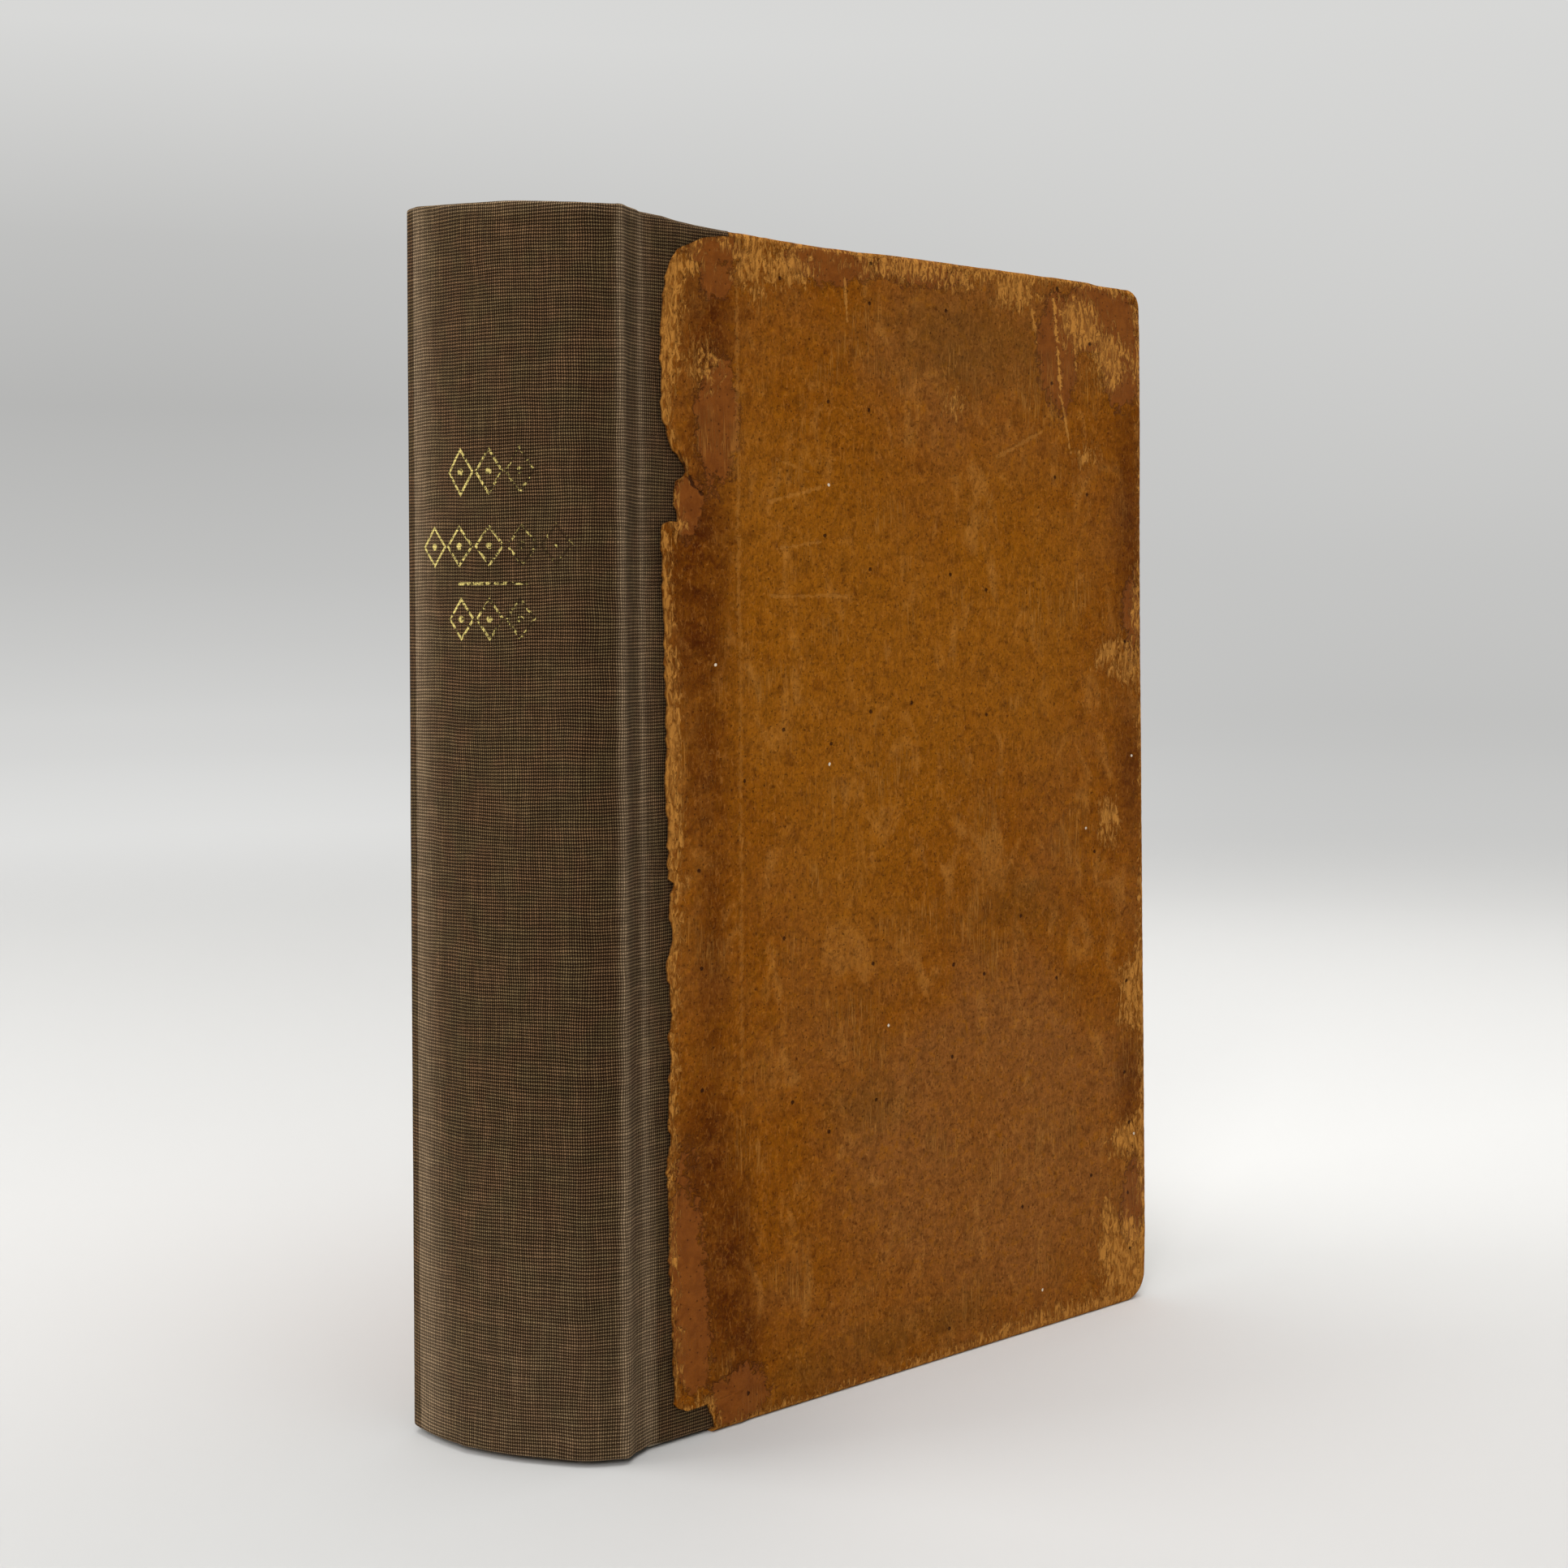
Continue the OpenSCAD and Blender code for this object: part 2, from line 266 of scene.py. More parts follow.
@dataclass
class Shape:
    """Points, faces and what varies over them, on the way to a mesh.

    Attributes:
        points: Places in metres.
        quads: Numbers of the points round each face.
        uv: Pattern coordinates of each point, in metres.
        marks: Named values of each point, for the materials.
        flat: Whether each face is shaded flat.
    """

    points: Array
    quads: Array
    uv: Array | None = None
    marks: dict[str, Array] = field(default_factory=dict)
    flat: Array | None = None

    def volume(self) -> float:
        """Volume inside the faces, negative where they point inwards.

        Returns:
            Cubic metres.
        """
        p = [self.points[self.quads[:, k]] for k in range(4)]
        first = np.einsum("ij,ij->i", p[0], np.cross(p[1], p[2])).sum()
        return float(first + np.einsum("ij,ij->i", p[0], np.cross(p[2], p[3])).sum()) / 6

    def mesh(self, name: str, material: Material) -> Piece:
        """Makes the object, with its faces turned outwards.

        Args:
            name: Name of the object.
            material: Its finish.

        Returns:
            The new object, at the origin.
        """
        quads = self.quads if self.volume() > 0 else self.quads[:, ::-1]
        mesh = bpy.data.meshes.new(name)
        mesh.vertices.add(len(self.points))
        mesh.vertices.foreach_set("co", self.points.astype(np.float32).ravel())
        mesh.loops.add(quads.size)
        mesh.loops.foreach_set("vertex_index", quads.astype(np.int32).ravel())
        mesh.polygons.add(len(quads))
        mesh.polygons.foreach_set("loop_start", np.arange(0, quads.size, 4, dtype=np.int32))
        smooth = np.ones(len(quads), bool) if self.flat is None else ~self.flat
        mesh.polygons.foreach_set("use_smooth", smooth)
        if self.uv is not None:
            layer = mesh.uv_layers.new(name="pattern")
            layer.data.foreach_set("uv", self.uv[quads.ravel()].astype(np.float32).ravel())
        for mark, values in self.marks.items():
            attribute = mesh.attributes.new(mark, "FLOAT", "POINT")
            attribute.data.foreach_set("value", values.astype(np.float32))
        mesh.update(calc_edges=True)
        mesh.validate()
        mesh.materials.append(material)
        made = bpy.data.objects.new(name, mesh)
        bpy.context.scene.collection.objects.link(made)
        return made


def two_sided(
    outside: Array,
    inside: Array,
    quads: Array,
    border: Array,
    uv: Array,
    marks: dict[str, Array],
) -> Shape:
    """A closed skin from the two faces of a sheet.

    Args:
        outside: Points of the outer face.
        inside: Points of the inner face, one under each outer point.
        quads: Faces of the outer face.
        border: Numbers of the points round the sheet, in order.
        uv: Pattern coordinates of the outer points.
        marks: Values of the outer points.

    Returns:
        The sheet with its thickness, its rim shaded flat.
    """
    count = len(outside)
    nxt = np.roll(border, -1)
    rim = np.stack([nxt, border, border + count, nxt + count], -1)
    faces = np.concatenate([quads, quads[:, ::-1] + count, rim])
    under = {"under": np.concatenate([np.zeros(count), np.ones(count)])}
    return Shape(
        np.concatenate([outside, inside]),
        faces,
        np.concatenate([uv, uv]),
        {k: np.concatenate([v, v]) for k, v in marks.items()} | under,
        np.arange(len(faces)) >= len(faces) - len(rim),
    )


# Nodes


class Net:
    """Short way to lay nodes in one tree. Each method adds a node and returns its output."""

    def __init__(self, tree: Tree) -> None:
        """Starts on a tree."""
        self.tree = tree

    def add(self, kind: str, feeds: dict[str | int, Feed], **settings: object) -> Node:
        """Adds a node.

        Args:
            kind: Type name of the node.
            feeds: For each input, a socket to link or a value to set.
            settings: Properties of the node.

        Returns:
            The node.
        """
        node = self.tree.nodes.new(kind)
        for name, value in settings.items():
            setattr(node, name, value)
        return self.feed(node, feeds)

    def feed(self, node: Node, feeds: dict[str | int, Feed]) -> Node:
        """Links a socket or sets a value at each of these inputs of the node, and returns it.

        Args:
            node: The node.
            feeds: A socket or a value for each input.

        Returns:
            The node.
        """
        for key, value in feeds.items():
            if isinstance(value, Socket):
                self.tree.links.new(value, node.inputs[key])
            elif value is not None:
                node.inputs[key].default_value = value
        return node

    def math(self, how: str, a: Feed, b: Feed = None, c: Feed = None) -> Socket:
        """A sum of one to three numbers."""
        return self.add("ShaderNodeMath", {0: a, 1: b, 2: c}, operation=how).outputs[0]

    def times(self, a: Feed, b: Feed, c: Feed = None) -> Socket:
        """a times b, with c added where it is given."""
        return self.math("MULTIPLY" if c is None else "MULTIPLY_ADD", a, b, c)

    def plus(self, a: Feed, b: Feed) -> Socket:
        """a and b added up."""
        return self.math("ADD", a, b)

    def less(self, a: Feed, b: Feed) -> Socket:
        """a less b."""
        return self.math("SUBTRACT", a, b)

    def over(self, a: Feed, b: Feed) -> Socket:
        """a divided by b."""
        return self.math("DIVIDE", a, b)

    def larger(self, a: Feed, b: Feed) -> Socket:
        """The larger of the two."""
        return self.math("MAXIMUM", a, b)

    def unsigned(self, a: Feed) -> Socket:
        """a without its sign."""
        return self.math("ABSOLUTE", a)

    def whole(self, a: Feed) -> Socket:
        """a rounded down."""
        return self.math("FLOOR", a)

    def off_middle(self, a: Feed) -> Socket:
        """How far the part of a past its point is from a half: 0 amid a cell, 0.5 at its edge."""
        return self.unsigned(self.less(self.math("FRACT", a), 0.5))

    def place(self) -> Socket:
        """Object coordinates, in metres."""
        return self.add("ShaderNodeTexCoord", {}).outputs["Object"]

    def pattern(self) -> Socket:
        """Flat coordinates of the piece's own pattern, in metres."""
        return self.add("ShaderNodeUVMap", {}, uv_map="pattern").outputs[0]

    def vmath(self, how: str, a: Feed, b: Feed = None, scale: Feed = None) -> Socket:
        """A sum of vectors.

        Args:
            how: Operation of the node.
            a: First vector.
            b: Second vector.
            scale: Number to scale the first by.

        Returns:
            A number for a length or product, else a vector.
        """
        feeds = {0: a, 1: b, "Scale": scale}
        node = self.add("ShaderNodeVectorMath", feeds, operation=how)
        return node.outputs["Value" if how in ("LENGTH", "DOT_PRODUCT", "DISTANCE") else "Vector"]

    def between(
        self, value: Feed, low: Feed, high: Feed, start: float = 0.0, end: float = 1.0
    ) -> Socket:
        """Goes from start at low to end at high without a kink, and stays there outside.

        Args:
            value: What is looked at.
            low: Where the start is left.
            high: Where the end is reached.
            start: Result at low.
            end: Result at high.

        Returns:
            The result.
        """
        feeds = {0: value, 1: low, 2: high, 3: start, 4: end}
        node = self.add("ShaderNodeMapRange", feeds, interpolation_type="SMOOTHSTEP")
        return node.outputs[0]

    def falling(self, value: Feed, low: Feed, high: Feed) -> Socket:
        """Goes from 1 at low to 0 at high without a kink, and stays there outside."""
        return self.between(value, low, high, 1.0, 0.0)

    def mix(self, share: Feed, a: Feed, b: Feed, how: str = "MIX") -> Socket:
        """Colour a at share 0, b at share 1.

        Args:
            share: Share of b.
            a: Colour underneath.
            b: Colour on top.
            how: Way of mixing.

        Returns:
            The mixed colour.
        """
        a = (*a, 1.0) if isinstance(a, tuple) else a
        b = (*b, 1.0) if isinstance(b, tuple) else b
        feeds = {0: share, 6: a, 7: b}
        return self.add("ShaderNodeMix", feeds, data_type="RGBA", blend_type=how).outputs[2]

    def layered(self, colour: Feed, layers: tuple[tuple[Feed, Feed], ...]) -> Socket:
        """A colour with others laid over it in turn, each given as its mask and its colour.

        Args:
            colour: The colour underneath.
            layers: Mask and colour of each layer.

        Returns:
            The colour on top.
        """
        for mask, over in layers:
            colour = self.mix(mask, colour, over)
        return colour

    def noise(
        self, vector: Feed, size: float, detail: float = 2.0, warp: float = 0.0, rough: float = 0.5
    ) -> Socket:
        """Noise from 0 to 1 whose largest waves are about size millimetres long.

        Args:
            vector: Coordinates.
            size: Length of the largest waves.
            detail: Octaves.
            warp: How far it is distorted.
            rough: Height of each octave by the one before.

        Returns:
            The noise.
        """
        feeds = {
            "Vector": vector,
            "Scale": 1 / (size * MM),
            "Detail": detail,
            "Roughness": rough,
            "Distortion": warp,
        }
        return self.add("ShaderNodeTexNoise", feeds).outputs["Fac"]

    def stretched(
        self, vector: Feed, stretch: Colour, shift: Colour = (0.0, 0.0, 0.0), turn: float = 0.0
    ) -> Socket:
        """The vector shifted, turned about z and scaled on each axis, to centre a pattern."""
        feeds = {"Vector": vector, "Scale": stretch, "Location": shift, "Rotation": (0, 0, turn)}
        return self.add("ShaderNodeMapping", feeds).outputs[0]

    def ramp(self, value: Feed, stops: list[tuple[float, Colour]]) -> Socket:
        """A colour that runs through these colours as the value passes their places.

        Args:
            value: Number from 0 to 1.
            stops: Places and their colours.

        Returns:
            The colour.
        """
        node = self.add("ShaderNodeValToRGB", {0: value})
        elements = node.color_ramp.elements
        for k, (place, colour) in enumerate(stops):
            element = elements[k] if k < 2 else elements.new(place)
            element.position = place
            element.color = (*colour, 1.0)
        return node.outputs["Color"]

    def cells(self, vector: Feed, size: float) -> Node:
        """Voronoi cells of about that size in millimetres, with their distance and colour."""
        feeds = {"Vector": vector, "Scale": 1 / (size * MM)}
        return self.add("ShaderNodeTexVoronoi", feeds)

    def chance(self, number: Feed) -> Socket:
        """A random value from 0 to 1 that depends on the number alone."""
        node = self.add("ShaderNodeTexWhiteNoise", {"W": number}, noise_dimensions="1D")
        return node.outputs["Value"]

    def mark(self, name: str) -> Socket:
        """A named value of the mesh's points."""
        node = self.add("ShaderNodeAttribute", {}, attribute_name=name)
        return node.outputs["Fac"]

    def split(self, vector: Feed) -> list[Socket]:
        """The vector's three parts."""
        return list(self.add("ShaderNodeSeparateXYZ", {0: vector}).outputs)

    def bump(self, height: Feed, depth: float, strength: float = 1.0) -> Socket:
        """A normal tilted by a height map whose value 1 stands depth millimetres high."""
        feeds = {"Height": height, "Distance": depth * MM, "Strength": strength}
        return self.add("ShaderNodeBump", feeds).outputs[0]

    def group(self, tree: Tree, feeds: dict[str, Feed]) -> Node:
        """Places a node group with its own values."""
        return self.add("ShaderNodeGroup", feeds, node_tree=tree)


def new_group(
    name: str, takes: dict[str, str], gives: dict[str, str]
) -> tuple[Tree, Net, dict[str, Socket], Node]:
    """Starts a node group.

    Args:
        name: Its name.
        takes: Inputs, each with the kind of its socket: Float, Vector or Color.
        gives: Outputs, in the same way.

    Returns:
        The tree, its net, its inputs by name and its output node.
    """
    tree = bpy.data.node_groups.new(name, "ShaderNodeTree")
    for sockets, way in ((takes, "INPUT"), (gives, "OUTPUT")):
        for socket, kind in sockets.items():
            tree.interface.new_socket(socket, in_out=way, socket_type=f"NodeSocket{kind}")
    start, end = tree.nodes.new("NodeGroupInput"), tree.nodes.new("NodeGroupOutput")
    return tree, Net(tree), {k: start.outputs[k] for k in takes}, end


def new_material(name: str) -> tuple[Material, Net, Node]:
    """Starts a material: the material, its net and its Principled BSDF.

    Args:
        name: Its name.

    Returns:
        The three of them.
    """
    material = bpy.data.materials.new(name)
    material.use_nodes = True
    return material, Net(material.node_tree), material.node_tree.nodes["Principled BSDF"]


def weave_group() -> Tree:
    """Plain weave from flat coordinates in metres.

    Threads run both ways, each a half-round with gaps between. Where warp and weft numbers
    add up to an even number the warp lies on top, elsewhere the weft. Each thread has its
    own tone, and swells here and there in slubs.

    Returns:
        The node group.
    """
    takes = {"Vector": "Vector", "Warp pitch": "Float", "Weft pitch": "Float"}
    gives = {"Height": "Float", "Thread": "Float", "Tone": "Float"}
    tree, net, given, end = new_group("plain weave", takes, gives)
    drift = net.noise(given["Vector"], 14.0)
    drift2 = net.noise(net.stretched(given["Vector"], (1, 1, 1), (0.37, 0.11, 0)), 18.0, 2.0)
    flat = net.split(given["Vector"])
    threads = []
    for axis, pitch, wander in ((0, "Warp pitch", drift), (1, "Weft pitch", drift2)):
        across = net.over(flat[axis], given[pitch])
        across = net.times(wander, 2.6, across)
        number = net.whole(across)
        run = net.times(flat[1 - axis], 110.0)
        place = net.add("ShaderNodeCombineXYZ", {0: run, 1: net.times(number, 7.31)})
        feeds = {"Vector": place.outputs[0], "Scale": 1.0, "Detail": 3.0}
        slub = net.add("ShaderNodeTexNoise", feeds).outputs["Fac"]
        width = net.between(slub, 0.35, 0.78, 0.25, 0.43)
        body = net.over(net.off_middle(across), width)
        body = net.larger(net.less(1.0, net.times(body, body)), 0.0)
        own = net.times(net.chance(number), 0.35, slub)
        threads.append((number, body, own))
    (warp_no, warp, warp_own), (weft_no, weft, weft_own) = threads
    over = net.unsigned(net.math("MODULO", net.plus(warp_no, weft_no), 2.0))
    warp_high = net.times(warp, net.times(over, -0.35, 1.0))
    weft_high = net.times(weft, net.times(over, 0.35, 0.65))
    height = net.larger(warp_high, weft_high)
    cross = net.times(warp, weft)
    thread = net.times(cross, 0.45, net.times(height, 0.6))
    top = net.math("GREATER_THAN", warp_high, weft_high)
    under = net.times(weft_own, net.less(1.0, top))
    tone = net.times(warp_own, top, under)
    net.feed(end, {"Height": height, "Thread": thread, "Tone": tone})
    return tree


def grain_group() -> Tree:
    """Fine grain of worn calf: fibres, pebbles and soft swellings, most of it below a millimetre.

    Fibres are a warped noise drawn out along the height, pebbles a rounder one. Light is where
    the fibres crest and Dark where the pebbles dip, both more in some patches than in others.
    Amount fades all of it to smooth skin.

    Returns:
        The node group.
    """
    takes = {"Vector": "Vector", "Amount": "Float", "Strokes": "Float"}
    gives = {"Height": "Float", "Light": "Float", "Dark": "Float"}
    tree, net, given, end = new_group("calf grain", takes, gives)
    turned = net.stretched(given["Vector"], (1.0, 0.48, 1.0), turn=0.30)
    fibre = net.noise(turned, 0.80, 3.0, 1.5, 0.62)
    pebble = net.noise(given["Vector"], 0.70, 2.0, 0.7, 0.6)
    wide = net.noise(given["Vector"], 2.8, 3.0, 0.5, 0.6)
    patch = net.noise(given["Vector"], 7.0, 3.0, 0.3, 0.6)
    light = net.between(fibre, net.times(patch, -0.25, 0.65), 0.72)
    light = net.times(light, given["Strokes"])
    dark = net.falling(pebble, 0.27, net.times(patch, 0.20, 0.36))
    high = net.times(fibre, 0.60, net.times(wide, 0.55))
    high = net.times(pebble, 0.45, high)
    masks = {"Height": high, "Light": light, "Dark": dark}
    net.feed(end, {name: net.times(value, given["Amount"]) for name, value in masks.items()})
    return tree


def specks_group() -> Tree:
    """Scattered specks: a few cells in a hundred hold a small dot at their middle.

    Returns:
        The node group.
    """
    takes = {"Vector": "Vector", "Spacing": "Float", "Radius": "Float", "Share": "Float"}
    tree, net, given, end = new_group("specks", takes, {"Mask": "Float"})
    scale = net.over(1.0, given["Spacing"])
    feeds = {"Vector": given["Vector"], "Scale": scale}
    cell = net.add("ShaderNodeTexVoronoi", feeds, voronoi_dimensions="2D")
    pick = net.math("LESS_THAN", net.split(cell.outputs["Color"])[0], given["Share"])
    near = net.over(given["Radius"], given["Spacing"])
    uneven = net.add("ShaderNodeTexNoise", {"Vector": given["Vector"], "Scale": 2600.0})
    reach = net.times(near, net.plus(0.4, uneven.outputs["Fac"]))
    dot = net.falling(cell.outputs["Distance"], net.times(reach, 0.6), reach)
    net.feed(end, {"Mask": net.times(dot, pick)})
    return tree


def scratch_group() -> Tree:
    """Long thin scratches at an angle: crests of a noise drawn out along them, in patches.

    Returns:
        The node group.
    """
    takes = {"Vector": "Vector", "Angle": "Float", "Amount": "Float"}
    tree, net, given, end = new_group("scratches", takes, {"Mask": "Float"})
    turn = net.add("ShaderNodeCombineXYZ", {2: given["Angle"]}).outputs[0]
    feeds = {"Vector": given["Vector"], "Rotation": turn, "Scale": (1.0, 0.045, 1.0)}
    drawn = net.add("ShaderNodeMapping", feeds).outputs[0]
    line = net.noise(drawn, 1.1, 2.0, 0.25)
    line = net.falling(net.unsigned(net.less(line, 0.5)), 0.004, 0.022)
    patch = net.between(net.noise(given["Vector"], 16.0), 0.52, 0.68)
    net.feed(end, {"Mask": net.times(net.times(line, patch), given["Amount"])})
    return tree


def stroke_group() -> Tree:
    """A scratch from one place to another, broken along its length.

    The distance to the line between the two places, set against a width that a noise
    changes from nothing to its full value.

    Returns:
        The node group.
    """
    takes = {"Vector": "Vector", "From": "Vector", "To": "Vector", "Width": "Float"}
    tree, net, given, end = new_group("stroke", takes, {"Mask": "Float"})
    way = net.vmath("SUBTRACT", given["To"], given["From"])
    away = net.vmath("SUBTRACT", given["Vector"], given["From"])
    share = net.over(net.vmath("DOT_PRODUCT", away, way), net.vmath("DOT_PRODUCT", way, way))
    share = net.add("ShaderNodeClamp", {0: share}).outputs[0]
    nearest = net.vmath("SCALE", way, scale=share)
    far = net.vmath("LENGTH", net.vmath("SUBTRACT", away, nearest))
    broken = net.noise(given["Vector"], 1.7, 3.0, 0.4, 0.65)
    reach = net.times(given["Width"], net.between(broken, 0.33, 0.66, 0.0, 1.3))
    net.feed(end, {"Mask": net.falling(far, net.times(reach, 0.4), reach)})
    return tree


def foxing_group() -> Tree:
    """Age of paper: rusty spots of two sizes and a slow, uneven browning.

    Returns:
        The node group.
    """
    takes = {"Vector": "Vector", "Spots": "Float"}
    tree, net, given, end = new_group("foxing", takes, {"Spot": "Float", "Browning": "Float"})
    big = net.noise(given["Vector"], 9.0, 4.0, 0.4)
    small = net.cells(given["Vector"], 5.5)
    pick = net.math("LESS_THAN", net.split(small.outputs["Color"])[1], 0.3)
    dot = net.falling(small.outputs["Distance"], 0.04, 0.2)
    spot = net.times(net.times(dot, pick), net.between(big, 0.45, 0.6))
    browning = net.noise(given["Vector"], 60.0, 4.0, 0.3)
    net.feed(end, {"Spot": net.times(spot, given["Spots"]), "Browning": browning})
    return tree


@dataclass
class Effects:
    """The node groups that more than one material uses."""

    weave: Tree = field(default_factory=weave_group)
    grain: Tree = field(default_factory=grain_group)
    specks: Tree = field(default_factory=specks_group)
    scratches: Tree = field(default_factory=scratch_group)
    stroke: Tree = field(default_factory=stroke_group)
    foxing: Tree = field(default_factory=foxing_group)


# Finishes


@dataclass(frozen=True)
class ToolingRow:
    """A row of gilt lozenges, or a plain rule where it has none.

    Attributes:
        height: Height of its middle over the table.
        middle: Its middle across the spine, from the middle of the spine.
        width: Its whole width.
        tall: Its whole height.
        count: Number of lozenges, 0 for a rule.
    """

    height: float
    middle: float
    width: float
    tall: float
    count: int


@dataclass(frozen=True)
class BookCloth:
    """Brown book cloth with beige threads, with gilt tooling on the spine."""

    gap: Colour = (0.0125, 0.0056, 0.0020)
    thread: Colour = (0.285, 0.160, 0.076)
    olive: Colour = (0.249, 0.164, 0.074)
    pale: Colour = (0.49, 0.340, 0.200)
    gilt: Colour = (0.66, 0.53, 0.17)
    press: Colour = (0.012, 0.006, 0.002)
    warp_pitch: float = 0.446
    weft_pitch: float = 0.607
    half_lozenge: float = 0.47
    rows: tuple[ToolingRow, ...] = (
        ToolingRow(177.6, -1.0, 18.6, 8.6, 3),
        ToolingRow(164.2, -1.0, 33.0, 7.4, 5),
        ToolingRow(157.4, -0.6, 14.6, 0.5, 0),
        ToolingRow(151.0, -1.0, 18.6, 7.6, 3),
    )

    def tooled(self, net: Net, uv: Socket) -> Socket:
        """Mask of the gilt lines.

        A lozenge is where twice the distance from its middle line, as a share of its width,
        and the same for its height add up to one. A line is drawn within a quarter of a
        millimetre of that, and a dot stands in each lozenge.

        Args:
            net: Net of the material.
            uv: Flat coordinates of the cloth.

        Returns:
            The mask, 0 to 1.
        """
        across, up, _ = net.split(uv)
        total: Feed = 0.0
        for row in self.rows:
            u = net.less(across, row.middle * MM)
            v = net.unsigned(net.less(up, row.height * MM))
            inside = net.math("LESS_THAN", net.unsigned(u), row.width / 2 * MM)
            if row.count == 0:
                line = net.falling(v, row.tall * 0.4 * MM, row.tall * 0.7 * MM)
            else:
                cell = row.width / row.count * MM
                share = net.off_middle(net.plus(net.over(u, cell), 0.5 * (row.count % 2)))
                x = net.over(share, self.half_lozenge)
                y = net.over(v, row.tall / 2 * MM)
                grade = math.hypot(1 / (self.half_lozenge * cell), 2 / (row.tall * MM))
                ring = net.over(net.unsigned(net.less(net.plus(x, y), 0.94)), grade)
                line = net.falling(ring, 0.16 * MM, 0.30 * MM)
                spot = net.times(share, cell)
                spot = net.math("SQRT", net.times(spot, spot, net.times(v, v)))
                line = net.larger(line, net.falling(spot, 0.5 * MM, 0.75 * MM))
            total = net.larger(net.times(line, inside), total)
        return total

    def material(self, effects: Effects) -> Material:
        """Builds the cloth's material.

        Args:
            effects: The shared node groups.

        Returns:
            The material.
        """
        material, net, shader = new_material("brown book cloth")
        uv = net.pattern()
        pitches = {"Warp pitch": self.warp_pitch * MM, "Weft pitch": self.weft_pitch * MM}
        weave = net.group(effects.weave, {"Vector": uv, **pitches})
        tone = net.between(weave.outputs["Tone"], 0.35, 1.1, 0.86, 1.12)
        grey = net.add("ShaderNodeCombineXYZ", dict.fromkeys(range(3), tone)).outputs[0]
        hue = net.noise(uv, 6.0, 3.0)
        thread = net.mix(net.between(hue, 0.35, 0.65), self.thread, self.olive)
        # The cloth's mark pales the threads and closes the gaps: wear, and painted light and a painted
        # highlight on the spine.
        thread = net.mix(net.between(net.mark("wear_and_painted_light"), 0.0, 1.0, 0.0, 0.9), thread, self.pale)
        thread = net.mix(1.0, thread, grey, "MULTIPLY")
        share = net.math("POWER", net.math("MINIMUM", weave.outputs["Thread"], 1.0), 2.0)
        shut = net.between(net.mark("wear_and_painted_light"), 0.0, 1.0, 0.0, 0.12)
        colour = net.mix(net.plus(share, shut), self.gap, thread)
        worn = net.noise(uv, 0.9, 3.0, 0.0, 0.7)
        rub = net.between(net.split(uv)[0], -12.0 * MM, 14.0 * MM, 0.40, 0.56)
        left = net.between(worn, rub, net.plus(rub, 0.09))
        tooled = self.tooled(net, uv)
        filled = net.between(weave.outputs["Height"], 0.1, 0.5, 0.45, 1.0)
        gilt = net.times(net.times(tooled, left), filled)
        pressed = net.mix(net.times(tooled, 0.5), colour, self.press)
        height = net.times(tooled, -0.5, weave.outputs["Height"])
        net.feed(shader, {
            "Base Color": net.mix(gilt, pressed, self.gilt),
            "Metallic": net.times(gilt, 0.45),
            "Roughness": net.between(gilt, 0.0, 1.0, 0.95, 0.42),
            "Normal": net.bump(height, 0.10),
            "Specular IOR Level": 0.05,
            "Sheen Weight": 0.05,
            "Sheen Roughness": 0.30,
            "Sheen Tint": (0.85, 0.72, 0.55, 1.0),
        })
        return material


@dataclass(frozen=True)
class Scratch:
    """A scratch between two places on a cover, each its distance from the spine and height."""

    start: tuple[float, float]
    end: tuple[float, float]
    width: float
    strength: float = 0.7

    def mask(self, net: Net, effects: "Effects", vector: Socket) -> Socket:
        """Its mask in a material.

        Args:
            net: Net of the material.
            effects: The shared node groups.
            vector: Coordinates on the cover.

        Returns:
            The mask.
        """
        feeds = {
            "Vector": vector,
            "From": (self.start[0] * MM, self.start[1] * MM, 0.0),
            "To": (self.end[0] * MM, self.end[1] * MM, 0.0),
            "Width": self.width * MM,
        }
        node = net.group(effects.stroke, feeds)
        return net.times(node.outputs[0], self.strength)


